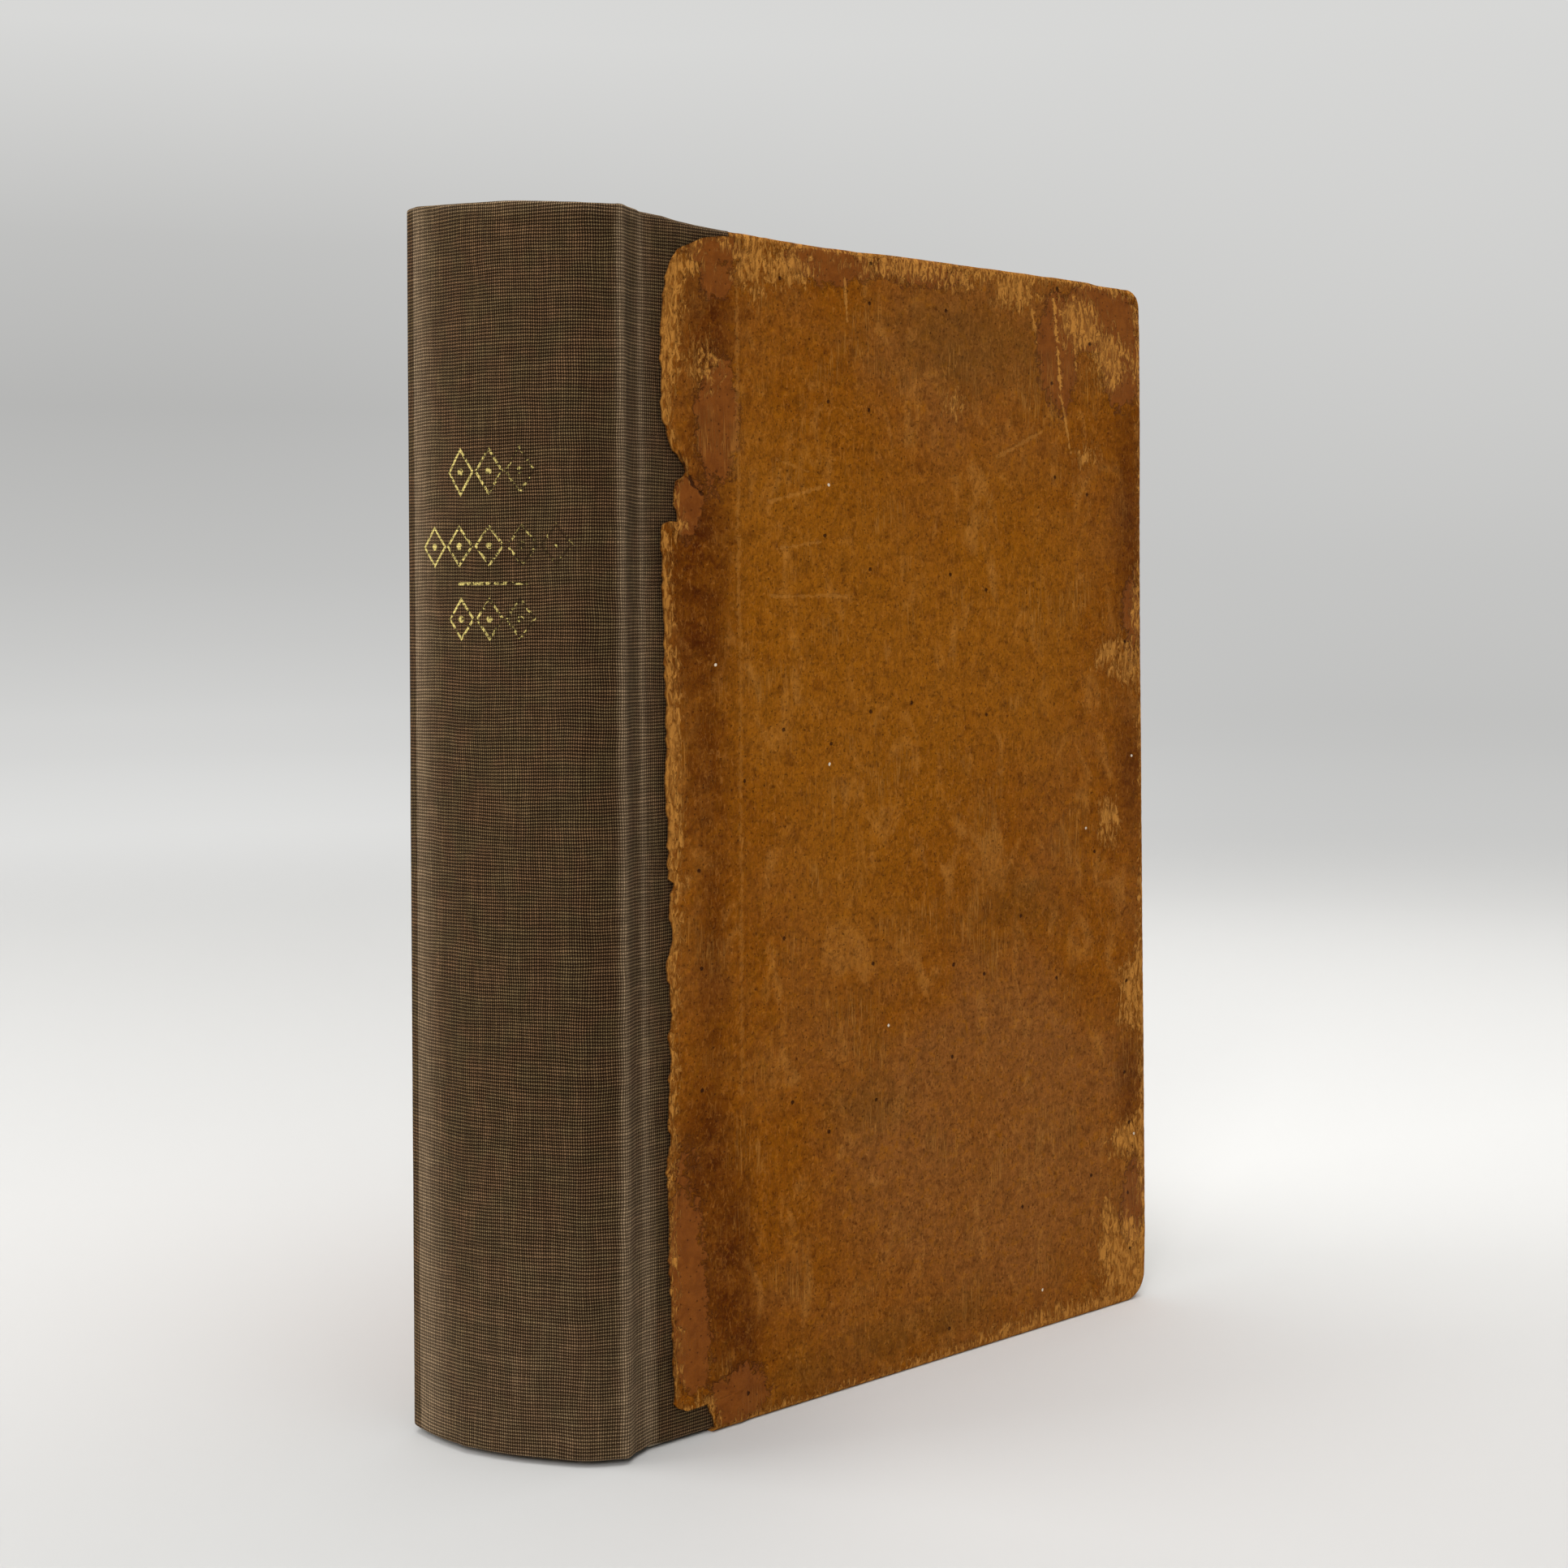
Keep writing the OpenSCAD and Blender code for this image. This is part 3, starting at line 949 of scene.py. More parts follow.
@dataclass(frozen=True)
class OldCalf:
    """Worn calf leather, browner in its stains and pale where it is worn through."""

    tan: Colour = (0.256, 0.0755, 0.0029)
    gold: Colour = (0.318, 0.104, 0.0036)
    furrow: Colour = (0.110, 0.024, 0.0010)
    dark: Colour = (0.066, 0.0105, 0.0006)
    # Greyish tone: the leather's own in places, a painted sheen on the lower front face.
    grey_tone_and_sheen: Colour = (0.272, 0.098, 0.0200)
    dim: Colour = (0.150, 0.056, 0.0060)
    bare: Colour = (0.600, 0.258, 0.048)
    rust: Colour = (0.170, 0.039, 0.0028)
    skin: Colour = (0.262, 0.076, 0.0120)
    fluff: Colour = (0.420, 0.180, 0.036)
    pit: Colour = (0.030, 0.008, 0.002)
    dust: Colour = (0.85, 0.74, 0.56)
    flesh: Colour = (0.115, 0.046, 0.015)
    back_shift: float = 0.7

    def material(
        self, effects: Effects, side: Side, cracks: tuple[Scratch, ...], scratches: tuple[Scratch, ...]
    ) -> Material:
        """Builds the leather's material for one cover.

        Every mask starts from how far inside a patch a point lies, in millimetres, and a
        noise makes its border ragged.

        Args:
            effects: The shared node groups.
            side: Which cover, so that their patterns differ.
            cracks: Dark cracks.
            scratches: Pale scratches.

        Returns:
            The material.
        """
        material, net, shader = new_material(f"old calf leather {side.value}")
        uv = net.pattern()
        place = net.stretched(uv, (1, 1, 1), (0.0 if side is Side.FRONT else self.back_shift, 0, 0))
        slow = net.noise(place, 30.0, 4.0, 0.3, 0.55)
        mid = net.noise(place, 6.0, 4.0, 0.5, 0.62)
        fine = net.noise(place, 1.3, 3.0, 0.6, 0.65)
        grit = net.noise(place, 0.42, 2.0, 0.4, 0.6)
        streak = net.noise(net.stretched(place, (1.0, 0.38, 1.0), turn=0.12), 0.9, 3.0, 0.9, 0.7)
        breakup = net.times(mid, 0.55, net.times(fine, 0.45))
        frayed = net.times(mid, 0.35, net.times(streak, 0.65))

        def patch(mark: str, noise: Socket, shake: float, soft: float) -> Feed:
            """Mask of the patches of a kind, from their depth in millimetres."""
            depth = net.times(noise, shake, net.less(net.mark(mark), shake / 2))
            return net.between(depth, -soft, soft)

        def specks(spacing: float, radius: float, share: float) -> Socket:
            """Mask of specks that far apart and that large, in millimetres."""
            feeds = {"Spacing": spacing * MM, "Radius": radius * MM, "Share": share}
            return net.group(effects.specks, {"Vector": place, **feeds}).outputs[0]

        def lines(angle: float, amount: float) -> Socket:
            """Mask of long thin scratches at that angle."""
            feeds = {"Vector": place, "Angle": angle, "Amount": amount}
            return net.group(effects.scratches, feeds).outputs[0]

        skin = patch("skin", breakup, 12.0, 0.6)
        bare = patch("bare", frayed, 19.0, 1.4)
        rim = patch("bare", breakup, 16.0, 4.5)
        deep = patch("dark", breakup, 17.0, 4.5)
        dim = patch("dim", breakup, 24.0, 6.0)
        golden = patch("gold", slow, 40.0, 14.0)
        grey_sheen_patch = patch("grey_tone_and_sheen", slow, 40.0, 14.0)
        grained = net.times(skin, -0.75, 1.0)
        feeds = {"Vector": place, "Amount": grained, "Strokes": net.between(slow, 0.3, 0.7, 1.0, 0.6)}
        grain = net.group(effects.grain, feeds)

        blotch = net.noise(place, 2.4, 4.0, 0.6, 0.65)
        drawn = net.stretched(place, (1.0, 0.6, 1.0), (3.0, 0, 0), 0.5)
        cloudy = net.noise(drawn, 9.0, 4.0, 1.2, 0.6)
        bald = net.mix(net.between(blotch, 0.35, 0.62, 0.30, 0.0), self.skin, self.dark)
        colour = net.layered(self.tan, (
            (net.between(slow, 0.38, 0.66, 0.0, 0.42), self.grey_tone_and_sheen),
            (net.times(golden, 0.75), self.gold),
            # Greyish blots: a painted sheen on the lower front face, the leather's own tone elsewhere.
            (net.times(grey_sheen_patch, 0.75), self.grey_tone_and_sheen),
            (net.between(blotch, 0.26, 0.52, 0.55, 0.0), self.furrow),
            (net.between(blotch, 0.50, 0.70, 0.0, 0.65), self.gold),
            (net.between(cloudy, 0.52, 0.72, 0.0, 0.30), self.bare),
            (net.times(dim, 0.55), self.dim),
            (net.times(rim, 0.55), self.rust),
            (net.times(deep, net.between(breakup, 0.38, 0.60, 0.92, 0.42)), self.dark),
            (net.times(grain.outputs["Dark"], 0.50), self.furrow),
            (net.times(grain.outputs["Light"], 0.36), self.fluff),
            (net.times(skin, 0.85), bald),
        ))
        # Painted shade in the grain's low places and a painted highlight on its crests, multiplied
        # into the colour.
        painted_relief = net.between(grain.outputs["Height"], 0.50, 1.02)
        tone = net.mix(painted_relief, (0.66, 0.66, 0.66), (1.20, 1.20, 1.20))
        colour = net.mix(grained, colour, net.mix(1.0, colour, tone, "MULTIPLY"))

        bare = net.times(bare, net.between(streak, 0.36, 0.60, 0.22, 1.0))
        for scratch in scratches:
            bare = net.larger(bare, scratch.mask(net, effects, uv))
        bare = net.larger(bare, net.larger(lines(0.12, 0.48), lines(1.9, 0.42)))

        pits = net.larger(specks(11.0, 0.50, 0.20), net.times(specks(2.1, 0.20, 0.50), 0.6))
        for crack in cracks:
            pits = net.larger(pits, crack.mask(net, effects, uv))
        colour = net.layered(colour, (
            (net.times(bare, 0.85), self.bare),
            (net.times(pits, 0.85), self.pit),
            (net.times(specks(15.0, 0.40, 0.10), 0.95), self.dust),
            (net.times(net.mark("under"), 0.9), self.flesh),
        ))
        height = grain.outputs["Height"]
        for mask, step in ((bare, -0.6), (skin, -0.2), (grit, 0.25), (pits, -1.2)):
            height = net.times(mask, step, height)
        net.feed(shader, {
            "Base Color": colour,
            "Roughness": net.times(skin, -0.28, net.between(bare, 0.0, 1.0, 0.68, 0.9)),
            "Normal": net.bump(height, 0.50),
            "Specular IOR Level": 0.03,
        })
        return material


@dataclass(frozen=True)
class Paper:
    """Old paper with foxing. Each use sets its tone."""

    name: str
    light: Colour = (0.63, 0.52, 0.34)
    brown: Colour = (0.44, 0.30, 0.14)
    rust: Colour = (0.27, 0.12, 0.04)
    spots: float = 0.7

    def material(self, effects: Effects) -> Material:
        """Builds the paper's material from the shared node groups.

        Args:
            effects: The shared node groups.

        Returns:
            The material.
        """
        material, net, shader = new_material(self.name)
        place = net.place()
        aged = net.group(effects.foxing, {"Vector": place, "Spots": self.spots})
        fibre = net.noise(net.stretched(place, (1, 1, 0.3)), 0.5, 3.0, 0.8)
        colour = net.layered(self.light, (
            (net.between(aged.outputs["Browning"], 0.35, 0.80, 0.05, 0.50), self.brown),
            (net.between(fibre, 0.4, 0.7, 0.0, 0.18), self.brown),
            (aged.outputs["Spot"], self.rust),
        ))
        net.feed(shader, {
            "Base Color": colour,
            "Roughness": net.between(fibre, 0.3, 0.7, 0.78, 0.92),
            "Normal": net.bump(fibre, 0.03),
            "Specular IOR Level": 0.2,
        })
        return material


@dataclass(frozen=True)
class LeafEdges:
    """Edges of the leaves: fine lines, one tone to a leaf, browned towards the outside."""

    light: Colour = (0.60, 0.49, 0.31)
    brown: Colour = (0.34, 0.22, 0.10)
    rust: Colour = (0.25, 0.12, 0.05)
    gap: Colour = (0.13, 0.075, 0.03)
    leaf: float = 0.16

    def material(self, effects: Effects) -> Material:
        """Builds the material of the leaves from the shared node groups.

        Args:
            effects: The shared node groups.

        Returns:
            The material.
        """
        material, net, shader = new_material("leaf edges")
        place = net.place()
        wander = net.times(net.noise(place, 25.0), 2.5)
        layer = net.plus(net.over(net.split(place)[1], self.leaf * MM), wander)
        tone = net.chance(net.whole(layer))
        gap = net.between(net.off_middle(layer), 0.36, 0.5)
        aged = net.group(effects.foxing, {"Vector": place, "Spots": 0.5})
        worn = net.plus(net.times(tone, 0.35), net.times(aged.outputs["Browning"], 0.65))
        colour = net.layered(self.light, (
            (net.between(worn, 0.3, 0.8), self.brown),
            (aged.outputs["Spot"], self.rust),
            (net.times(gap, 0.6), self.gap),
        ))
        net.feed(shader, {
            "Base Color": colour,
            "Roughness": 0.85,
            "Normal": net.bump(net.plus(net.times(tone, 0.6), net.times(gap, -0.8)), 0.06),
            "Specular IOR Level": 0.2,
        })
        return material


@dataclass(frozen=True)
class Fibre:
    """Board, card, cord and lining: a fibrous stuff in two tones."""

    name: str
    light: Colour
    dark: Colour
    size: float = 1.5
    stretch: Colour = (1.0, 1.0, 1.0)

    def material(self) -> Material:
        """Builds the material: noise drawn out along the fibres, and fine flecks.

        Returns:
            The material.
        """
        material, net, shader = new_material(self.name)
        place = net.place()
        strand = net.noise(net.stretched(place, self.stretch), self.size, 4.0, 0.6, 0.65)
        fleck = net.noise(place, 0.35)
        colour = net.layered(self.light, (
            (net.between(strand, 0.35, 0.68), self.dark),
            (net.between(fleck, 0.62, 0.75, 0.0, 0.5), self.dark),
        ))
        net.feed(shader, {
            "Base Color": colour,
            "Roughness": net.between(strand, 0.3, 0.7, 0.8, 0.95),
            "Normal": net.bump(strand, 0.08),
        })
        return material


@dataclass(frozen=True)
class BandThread:
    """Thread of the endbands, in two colours that take turns along the band."""

    first: Colour = (0.42, 0.30, 0.14)
    second: Colour = (0.16, 0.055, 0.020)
    fluff: Colour = (0.30, 0.21, 0.11)
    stripe: float = 3.2

    def material(self) -> Material:
        """Builds the material from the flat coordinates: along the band, and round it.

        Returns:
            The material.
        """
        material, net, shader = new_material("endband thread")
        uv = net.pattern()
        share = net.math("FRACT", net.over(net.split(uv)[0], self.stripe * MM))
        fluff = net.noise(uv, 0.25, 3.0)
        colour = net.layered(self.first, (
            (net.math("GREATER_THAN", share, 0.5), self.second),
            (net.between(fluff, 0.4, 0.75, 0.0, 0.5), self.fluff),
        ))
        net.feed(shader, {
            "Base Color": colour,
            "Roughness": net.between(fluff, 0.3, 0.7, 0.55, 0.8),
            "Normal": net.bump(fluff, 0.03),
            "Sheen Weight": 0.15,
        })
        return material


# Pieces


@dataclass
class SpineCloth:
    """The cloth from board to board, as two halves that meet beside the back shoulder.

    Each half runs through its own joint. A half is one sheet: round the outside, over its head
    and tail, and turned in again inside the inlay or round the board.

    Attributes:
        side: Which joint the half crosses.
        seam_deg: Angle of the seam from the middle of the spine.
        bend_x: A distance past the shoulder line, for where the front half would follow its cover; the
            point made from it is not used.
        fold_r: Radius of the folds over head and tail.
        turn_in: How far the cloth runs in again past its folds.
        cut_h: Height of the cloth laid flat; not used.
        open_groove: Depth of the joint's groove where the cover stands ajar.
        swell: How much fuller than a round arc the spine is, by the angle round it.
        head: Height of the head edge by the angle round the spine.
        head_front: The same past the front joint, by distance from the board's spine edge.
        head_back: The same for all of the back half.
        foot: Height of the tail edge, by distance from the board's spine edge.
    """

    side: Side
    seam_deg: float = 28.5
    bend_x: float = -1.6
    fold_r: float = 0.9
    turn_in: float = 13.0
    cut_h: float = 252.0
    open_groove: float = 0.55
    swell: Table = (
        (-14.5, 0.0), (-10.3, 0.18), (-6.0, 0.0), (9.0, 0.0), (13.0, 0.12), (18.3, 0.8),
        (21.9, 1.24), (24.5, 1.05), (27.2, 0.6), (30.6, 0.08), (33.0, 0.0),
    )
    head: Table = (
        (-31.9, 227.3), (-27.4, 227.35), (-22.2, 227.0), (-17.3, 226.7), (-11.5, 226.4),
        (-6.2, 226.2), (-1.4, 226.1), (3.2, 226.05), (7.5, 225.85), (11.8, 225.65),
        (18.1, 225.25), (24.0, 225.0), (31.9, 224.95),
    )
    head_front: Table = (
        (-5.0, 225.0), (-2.5, 224.95), (0.6, 224.85), (5.3, 224.65), (9.1, 224.1),
        (13.0, 223.8), (17.0, 223.6), (21.0, 223.5),
    )
    head_back: Table = (
        (-7.5, 227.3), (-5.5, 226.9), (-2.0, 225.2), (1.5, 224.2), (6.0, 223.6), (21.0, 223.1),
    )
    foot: Table = ((-99.0, 1.1), (-6.0, 1.1), (0.0, 0.75), (4.0, 0.35), (21.0, 0.3))

    def mid_r(self) -> float:
        """Radius of the cloth's middle line round the spine's axis."""
        return BOOK.cloth_in_r + BOOK.cloth_t / 2

    def plan(self) -> tuple[Array, Array]:
        """Middle line of the cloth from the seam to the end of the flange, on the back side.

        An arc about the spine's axis, a little fuller by the front shoulder, two bends over
        the ridge and through the groove, and a straight run on the board.

        Returns:
            The points, and for each its angle round the spine.
        """
        end = math.radians(BOOK.spine_deg)
        front = self.side is Side.FRONT
        start = math.radians(-self.seam_deg if front else self.seam_deg)
        angle = np.linspace(start, end, 240 if front else 4)
        r = self.mid_r() + 0 * angle
        if front:
            off = looked_up(self.swell, np.degrees(angle))
            r = r + np.convolve(np.pad(off, 6, "edge"), np.ones(13) / 13, "valid")
        arc = np.stack([BOOK.spine_x - r * np.cos(angle), r * np.sin(angle)], -1)
        deg = BOOK.deg(self.side)
        top = BOOK.board_in_y + BOOK.board_t + BOOK.cloth_t / 2
        ridge = arc[-1] + BOOK.ridge_run * np.array([math.sin(end), math.cos(end)])
        corner = BOOK.turned(np.array([BOOK.joint_w - 0.1, top + 0.05]), deg)
        sink = self.open_groove if front else BOOK.groove_depth
        dip = (ridge + 2 * corner) / 3 - np.array([0.0, 2 * sink])
        flange_s = np.linspace(0.5, BOOK.flange_w, 60)
        flange = np.stack([BOOK.joint_w + flange_s, np.full_like(flange_s, top)], -1)
        half = (ridge + dip) / 2
        path = np.concatenate([
            arc[:-1],
            bend(arc[-1], ridge, half, 12)[:-1],
            bend(half, dip, corner, 14),
            BOOK.turned(flange, deg),
        ])
        fine = rounded(resampled(path, np.arange(0, along(path)[-1], 0.1)), 9)
        turn = np.degrees(np.arctan2(fine[:, 1], BOOK.spine_x - fine[:, 0]))
        return fine, turn

    def build(self, material: Material) -> Piece:
        """Builds this half.

        The cloth's middle surface is the plan line carried up a profile: in at the tail,
        round, up the outside, over the head and in again. How far in it lies is the gap,
        1 mm over the inlay, nearly none in the joint and the board's thickness on the board.

        Args:
            material: The cloth's finish.

        Returns:
            The half, in place between the book and its cover.
        """
        fine, turn = self.plan()
        length = along(fine)
        columns = np.concatenate([np.arange(0, length[-1] - 0.2, 0.4), [length[-1]]])
        plan = resampled(fine, columns)
        angle = np.interp(columns, length, turn)
        out = left_of(plan)
        front = self.side is Side.FRONT
        lead = math.radians(self.seam_deg) * self.mid_r()
        flat = columns - lead if front else columns + lead
        on_board = flat - flat[-1] + BOOK.flange_w
        joint = float(np.interp(BOOK.spine_deg, angle, on_board)) if front else -6.0
        steps = [-99, joint - 1.5, joint + 1.5, -1.4, 0.0, 0.6, 99]
        gap = np.interp(on_board, steps, [1.01, 1.01, 0.47, 0.47, 2.1, 2.4, 2.4])
        top = looked_up(self.head_front if front else self.head_back, on_board)
        if front:
            top = np.where(on_board < joint, looked_up(self.head, angle), top)
        top = top + 0.07 * rough(flat / 6.0, flat * 0 + 0.5, 11)
        bottom = looked_up(self.foot, on_board) + 0.05 * ripple(flat / 7.0, flat * 0 + 0.5, 12)
        half = BOOK.cloth_t / 2
        z_low, z_high = bottom + half, top - half
        rise = np.minimum(gap / 2, self.fold_r)
        inner = np.linspace(0, 1, 6)[:-1]
        fold = np.linspace(0, math.pi, 9)
        body = np.linspace(0, 1, 90)[1:-1]
        low = z_low + rise
        high = z_high - rise
        share = np.concatenate([1 + 0 * inner, (1 - np.cos(fold[::-1])) / 2, 0 * body,
                                (1 - np.cos(fold)) / 2, 1 + 0 * inner])
        z = np.concatenate([
            low + (self.turn_in - rise) * (1 - inner[:, None]),
            low - rise * np.sin(fold[::-1, None]),
            low + (high - low) * body[:, None],
            high + rise * np.sin(fold[:, None]),
            high - (self.turn_in - rise) * (1 - inner[::-1, None]),
        ])
        depth = share[:, None] * gap
        # Flat height: the outside keeps its z, the folds and turn-ins run on past them
        upper = z > BOOK.cover_h / 2
        passed = share[:, None] * (2 * np.where(upper, z_high - z, z - z_low) + gap)
        flat_z = z + np.where(upper, passed, -passed)

        wave = 0.05 * rough(flat / 11.0, z / 23.0, 21, 2) + 0.02 * ripple(flat / 3.0, z / 60, 22)
        crease = 0.40 * np.exp(-(((angle + 10.3) / 1.6) ** 2)) * np.exp(-z / 9.0)
        crease = crease - looked_up(self.swell, angle) * 0.45 * (1 - ease(z / 60.0))
        crease = crease * front
        end = np.minimum(z_high - z, z - z_low)
        filled = 0.40 * np.exp(-(((on_board + 2.6) / 1.8) ** 2)) * np.exp(-end / 7.0)
        wave = (wave + crease + filled) * (on_board < 2) * (1 - share[:, None])
        place = plan[None] - (depth - wave)[..., None] * out[None]
        mid = np.concatenate([place, z[..., None]], -1)
        du, dv = np.gradient(mid, axis=1), np.gradient(mid, axis=0)
        normal = np.cross(dv, du)
        normal = normal / np.maximum(np.linalg.norm(normal, axis=-1, keepdims=True), 1e-9)
        sign = BOOK.sign(self.side)
        outside, inside = (
            BOOK.row(f[..., 0], sign * f[..., 1], f[..., 2]).reshape(-1, 3)
            for f in (mid + half * normal, mid - half * normal)
        )
        ids = np.arange(z.size).reshape(z.shape)
        border = np.concatenate([ids[0, :-1], ids[:-1, -1], ids[-1, :0:-1], ids[:0:-1, 0]])
        uv = np.stack([np.broadcast_to(-sign * flat, z.shape), flat_z], -1) * MM
        edge = np.minimum(np.abs(z - z_high), np.abs(z - z_low))
        ridge = np.exp(-(((on_board - joint - 0.6) / 1.1) ** 2))
        ridge = ridge + 0.8 * np.exp(-(((on_board + 0.6) / 0.9) ** 2))
        # Paler threads over the back shoulder of the front half: painted light from the left side.
        painted_side_light = ease((-angle - 12.0) / 20.0) * front
        # Paler towards the tail: painted light bounced up from the floor.
        painted_floor_light = 0.35 * ease(1 - z / 90.0) * (on_board < 2)
        joint_wear = 0.30 * ease((on_board - joint + 2.0) / 2.5) * ease((4.0 - on_board) / 3.0)
        # One mark for the paler cloth: the ridges, wear along the joint, and painted light on the back
        # shoulder and towards the tail.
        wear_and_light = 0.60 * ridge + 0.95 * painted_side_light + joint_wear + painted_floor_light
        # Paler along the head and tail folds: wear and a painted highlight where the cloth turns over.
        wear_and_painted_light = np.maximum(0.9 * np.exp(-edge / 0.6), wear_and_light)
        marks = {"wear_and_painted_light": wear_and_painted_light.ravel()}
        shape = two_sided(outside, inside, grid_quads(ids), border, uv.reshape(-1, 2), marks)
        made = shape.mesh(f"spine_cloth_{self.side.value}", material)
        start = BOOK.row(self.bend_x, 0.0, 0.0)
        finish = BOOK.row(BOOK.joint_w + 0.4, 0.0, 0.0)
        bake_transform(made)
        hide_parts("spine_cloth")
        return made


@dataclass(frozen=True)
class Blot:
    """A patch on a cover: its middle and its half sizes, all in millimetres."""

    s: float
    z: float
    half_s: float
    half_z: float

    def depth(self, s: Array, z: Array) -> Array:
        """About how far inside the patch points lie, and below 0 how far outside."""
        away = np.hypot((s - self.s) / self.half_s, (z - self.z) / self.half_z)
        return (1 - away) * min(self.half_s, self.half_z)


@dataclass
class CoverLeather:
    """Old leather of one cover: its outer face, its rounded edges and its turn-ins.

    Attributes:
        side: Which cover.
        tear: The torn edge from head to tail, as distance from the board's spine edge and height.
        ragged: How far the torn edge wanders off those points.
        seed: Seed of everything uneven.
        bare_tear: Width of the bare strip along the tear, by height.
        bare_head: Width of the bare strip along the head, by distance from the spine.
        bare_tail: The same along the tail.
        bare_fore: Width of the bare strip along the fore-edge, by height.
        head_dip: How far the head edge stands from straight, by distance from the spine.
        fore_dip: How far the fore-edge stands from straight, by height.
        blots: Patches of each kind: bare, skin, dark, dim, gold, and a greyish tone that on the lower
            front is a painted sheen.
        rows: Number of points along the torn edge.
        round_r: Radius of the board's worn outer edge, under the leather.
        square_end: How many points of the edge's profile the bare strip runs round.
        deepest: Limits of how far inside a patch a point can be said to lie.
    """

    side: Side
    tear: Table
    ragged: float
    seed: int
    bare_tear: Table = ((0.0, 0.8), (223.0, 0.8))
    bare_head: Table = ((0.0, 1.5), (139.0, 1.5))
    bare_tail: Table = ((0.0, 0.6), (60.0, 0.5), (100.0, 2.5), (139.0, 3.5))
    bare_fore: Table = ((0.0, 3.5), (30.0, 2.0), (110.0, 0.8), (200.0, 1.0), (223.0, 3.0))
    head_dip: Table = ((0.0, 0.0), (139.0, 0.0))
    fore_dip: Table = ((0.0, 0.0), (223.0, 0.0))
    blots: dict[str, tuple[Blot, ...]] = field(default_factory=dict)
    rows: int = 540
    round_r: float = 0.95
    square_end: int = 8
    deepest: tuple[float, float] = (-40.0, 12.0)

    def columns(self) -> Array:
        """Distances of the columns from the torn edge, close together at both sides.

        Returns:
            The distances.
        """
        near = np.array([0, 0.12, 0.28, 0.5, 0.8, 1.15, 1.6, 2.2, 2.9, 3.8, 4.9])
        band = np.arange(6.2, 26.0, 1.5)
        face = np.linspace(28.0, 125.0, 31)
        fore = np.linspace(126.6, 133.0, 8)
        return np.concatenate([near, band, face, fore])

    def torn(self) -> Array:
        """Points of the torn edge, evenly spaced along it, with small bites and tongues.

        Returns:
            The points, as distance and height.
        """
        path = np.array(self.tear, float)
        length = along(path)
        t = np.linspace(0, length[-1], self.rows)
        edge = resampled(path, t)
        off = rough(t / 3.4, t * 0 + 0.5, self.seed) + 0.8 * ripple(t / 1.15, t * 0, self.seed + 9)
        fade = ease(t / 3.0) * ease((length[-1] - t) / 3.0)
        return edge + (self.ragged * off * fade)[:, None] * np.array([1.0, 0.35])

    def lift(self, s: Array, z: Array) -> Array:
        """How far the leather stands off the board: it lies on the cloth by the spine.

        Args:
            s: Distance of points from the spine edge.
            z: Their height.

        Returns:
            How far it stands off.
        """
        step = BOOK.cloth_t * (1 - ease((s - BOOK.flange_w) / BOOK.lift_slope))
        uneven = 1 + 0.6 * ripple(z / 9, z * 0, self.seed + 31)
        swell = 0.18 * np.exp(-(((s - 21.9) / 1.2) ** 2)) * uneven
        loose = 1 - ease((s - 15) / 9)
        return step + swell + loose * 0.13 * rough(s / 6, z / 11, self.seed + 32)

    def radii(self, out: float) -> tuple[float, float]:
        """Radii of the head and tail corners of an outline this far outside the face's.

        Args:
            out: How far outside the face's outline.

        Returns:
            Head radius and tail radius.
        """
        return tuple(
            max(r - self.round_r + out, 0.5) for r in (BOOK.head_corner_r, BOOK.tail_corner_r)
        )

    def cornered(self, s: Array, z: Array) -> tuple[Array, Array]:
        """Bends a rectangle of points into one with round corners at the fore-edge.

        Within a corner's box, with a and b its two shares from 0 to 1, the point goes to a
        times the root of 1 - b b / 2, and the same with a and b changed about: that takes a
        square to a quarter disc and leaves its inner edges where they are.

        Args:
            s: Distance of points from the spine edge.
            z: Their height.

        Returns:
            The same, bent.
        """
        inset = self.round_r
        far = BOOK.cover_w - inset
        head, tail = self.radii(0.0)
        for r, base, way in ((head, BOOK.cover_h - inset, 1.0), (tail, inset, -1.0)):
            a = np.clip((s - (far - r)) / r, 0, 1)
            b = np.clip(way * (z - (base - way * r)) / r, 0, 1)
            inside = (a > 0) & (b > 0)
            s = np.where(inside, far - r + r * a * np.sqrt(1 - b * b / 2), s)
            z = np.where(inside, base - way * r + way * r * b * np.sqrt(1 - a * a / 2), z)
        return s, z

    def face(self) -> tuple[Array, Array, Array]:
        """Grid of the outer face: distance, height, and distance from the tear.

        Returns:
            The three grids.
        """
        inset = self.round_r
        edge = self.torn()
        d = self.columns()
        s = edge[:, :1] + (BOOK.cover_w - inset - edge[:, :1]) * (d / d[-1])[None]
        level = np.linspace(BOOK.cover_h - inset, inset, self.rows)[:, None]
        z = edge[:, 1:] + (level - edge[:, 1:]) * ease(d / 45.0)[None]
        z[0], z[-1] = BOOK.cover_h - inset, inset
        s, z = self.cornered(s, z)
        near = np.broadcast_to(d, s.shape).copy()
        for column in np.flatnonzero(d < 30):
            part = np.stack([s[:, column], z[:, column]], -1)
            near[:, column] = np.linalg.norm(part[:, None] - edge[None], axis=-1).min(-1)
        return s, z, near

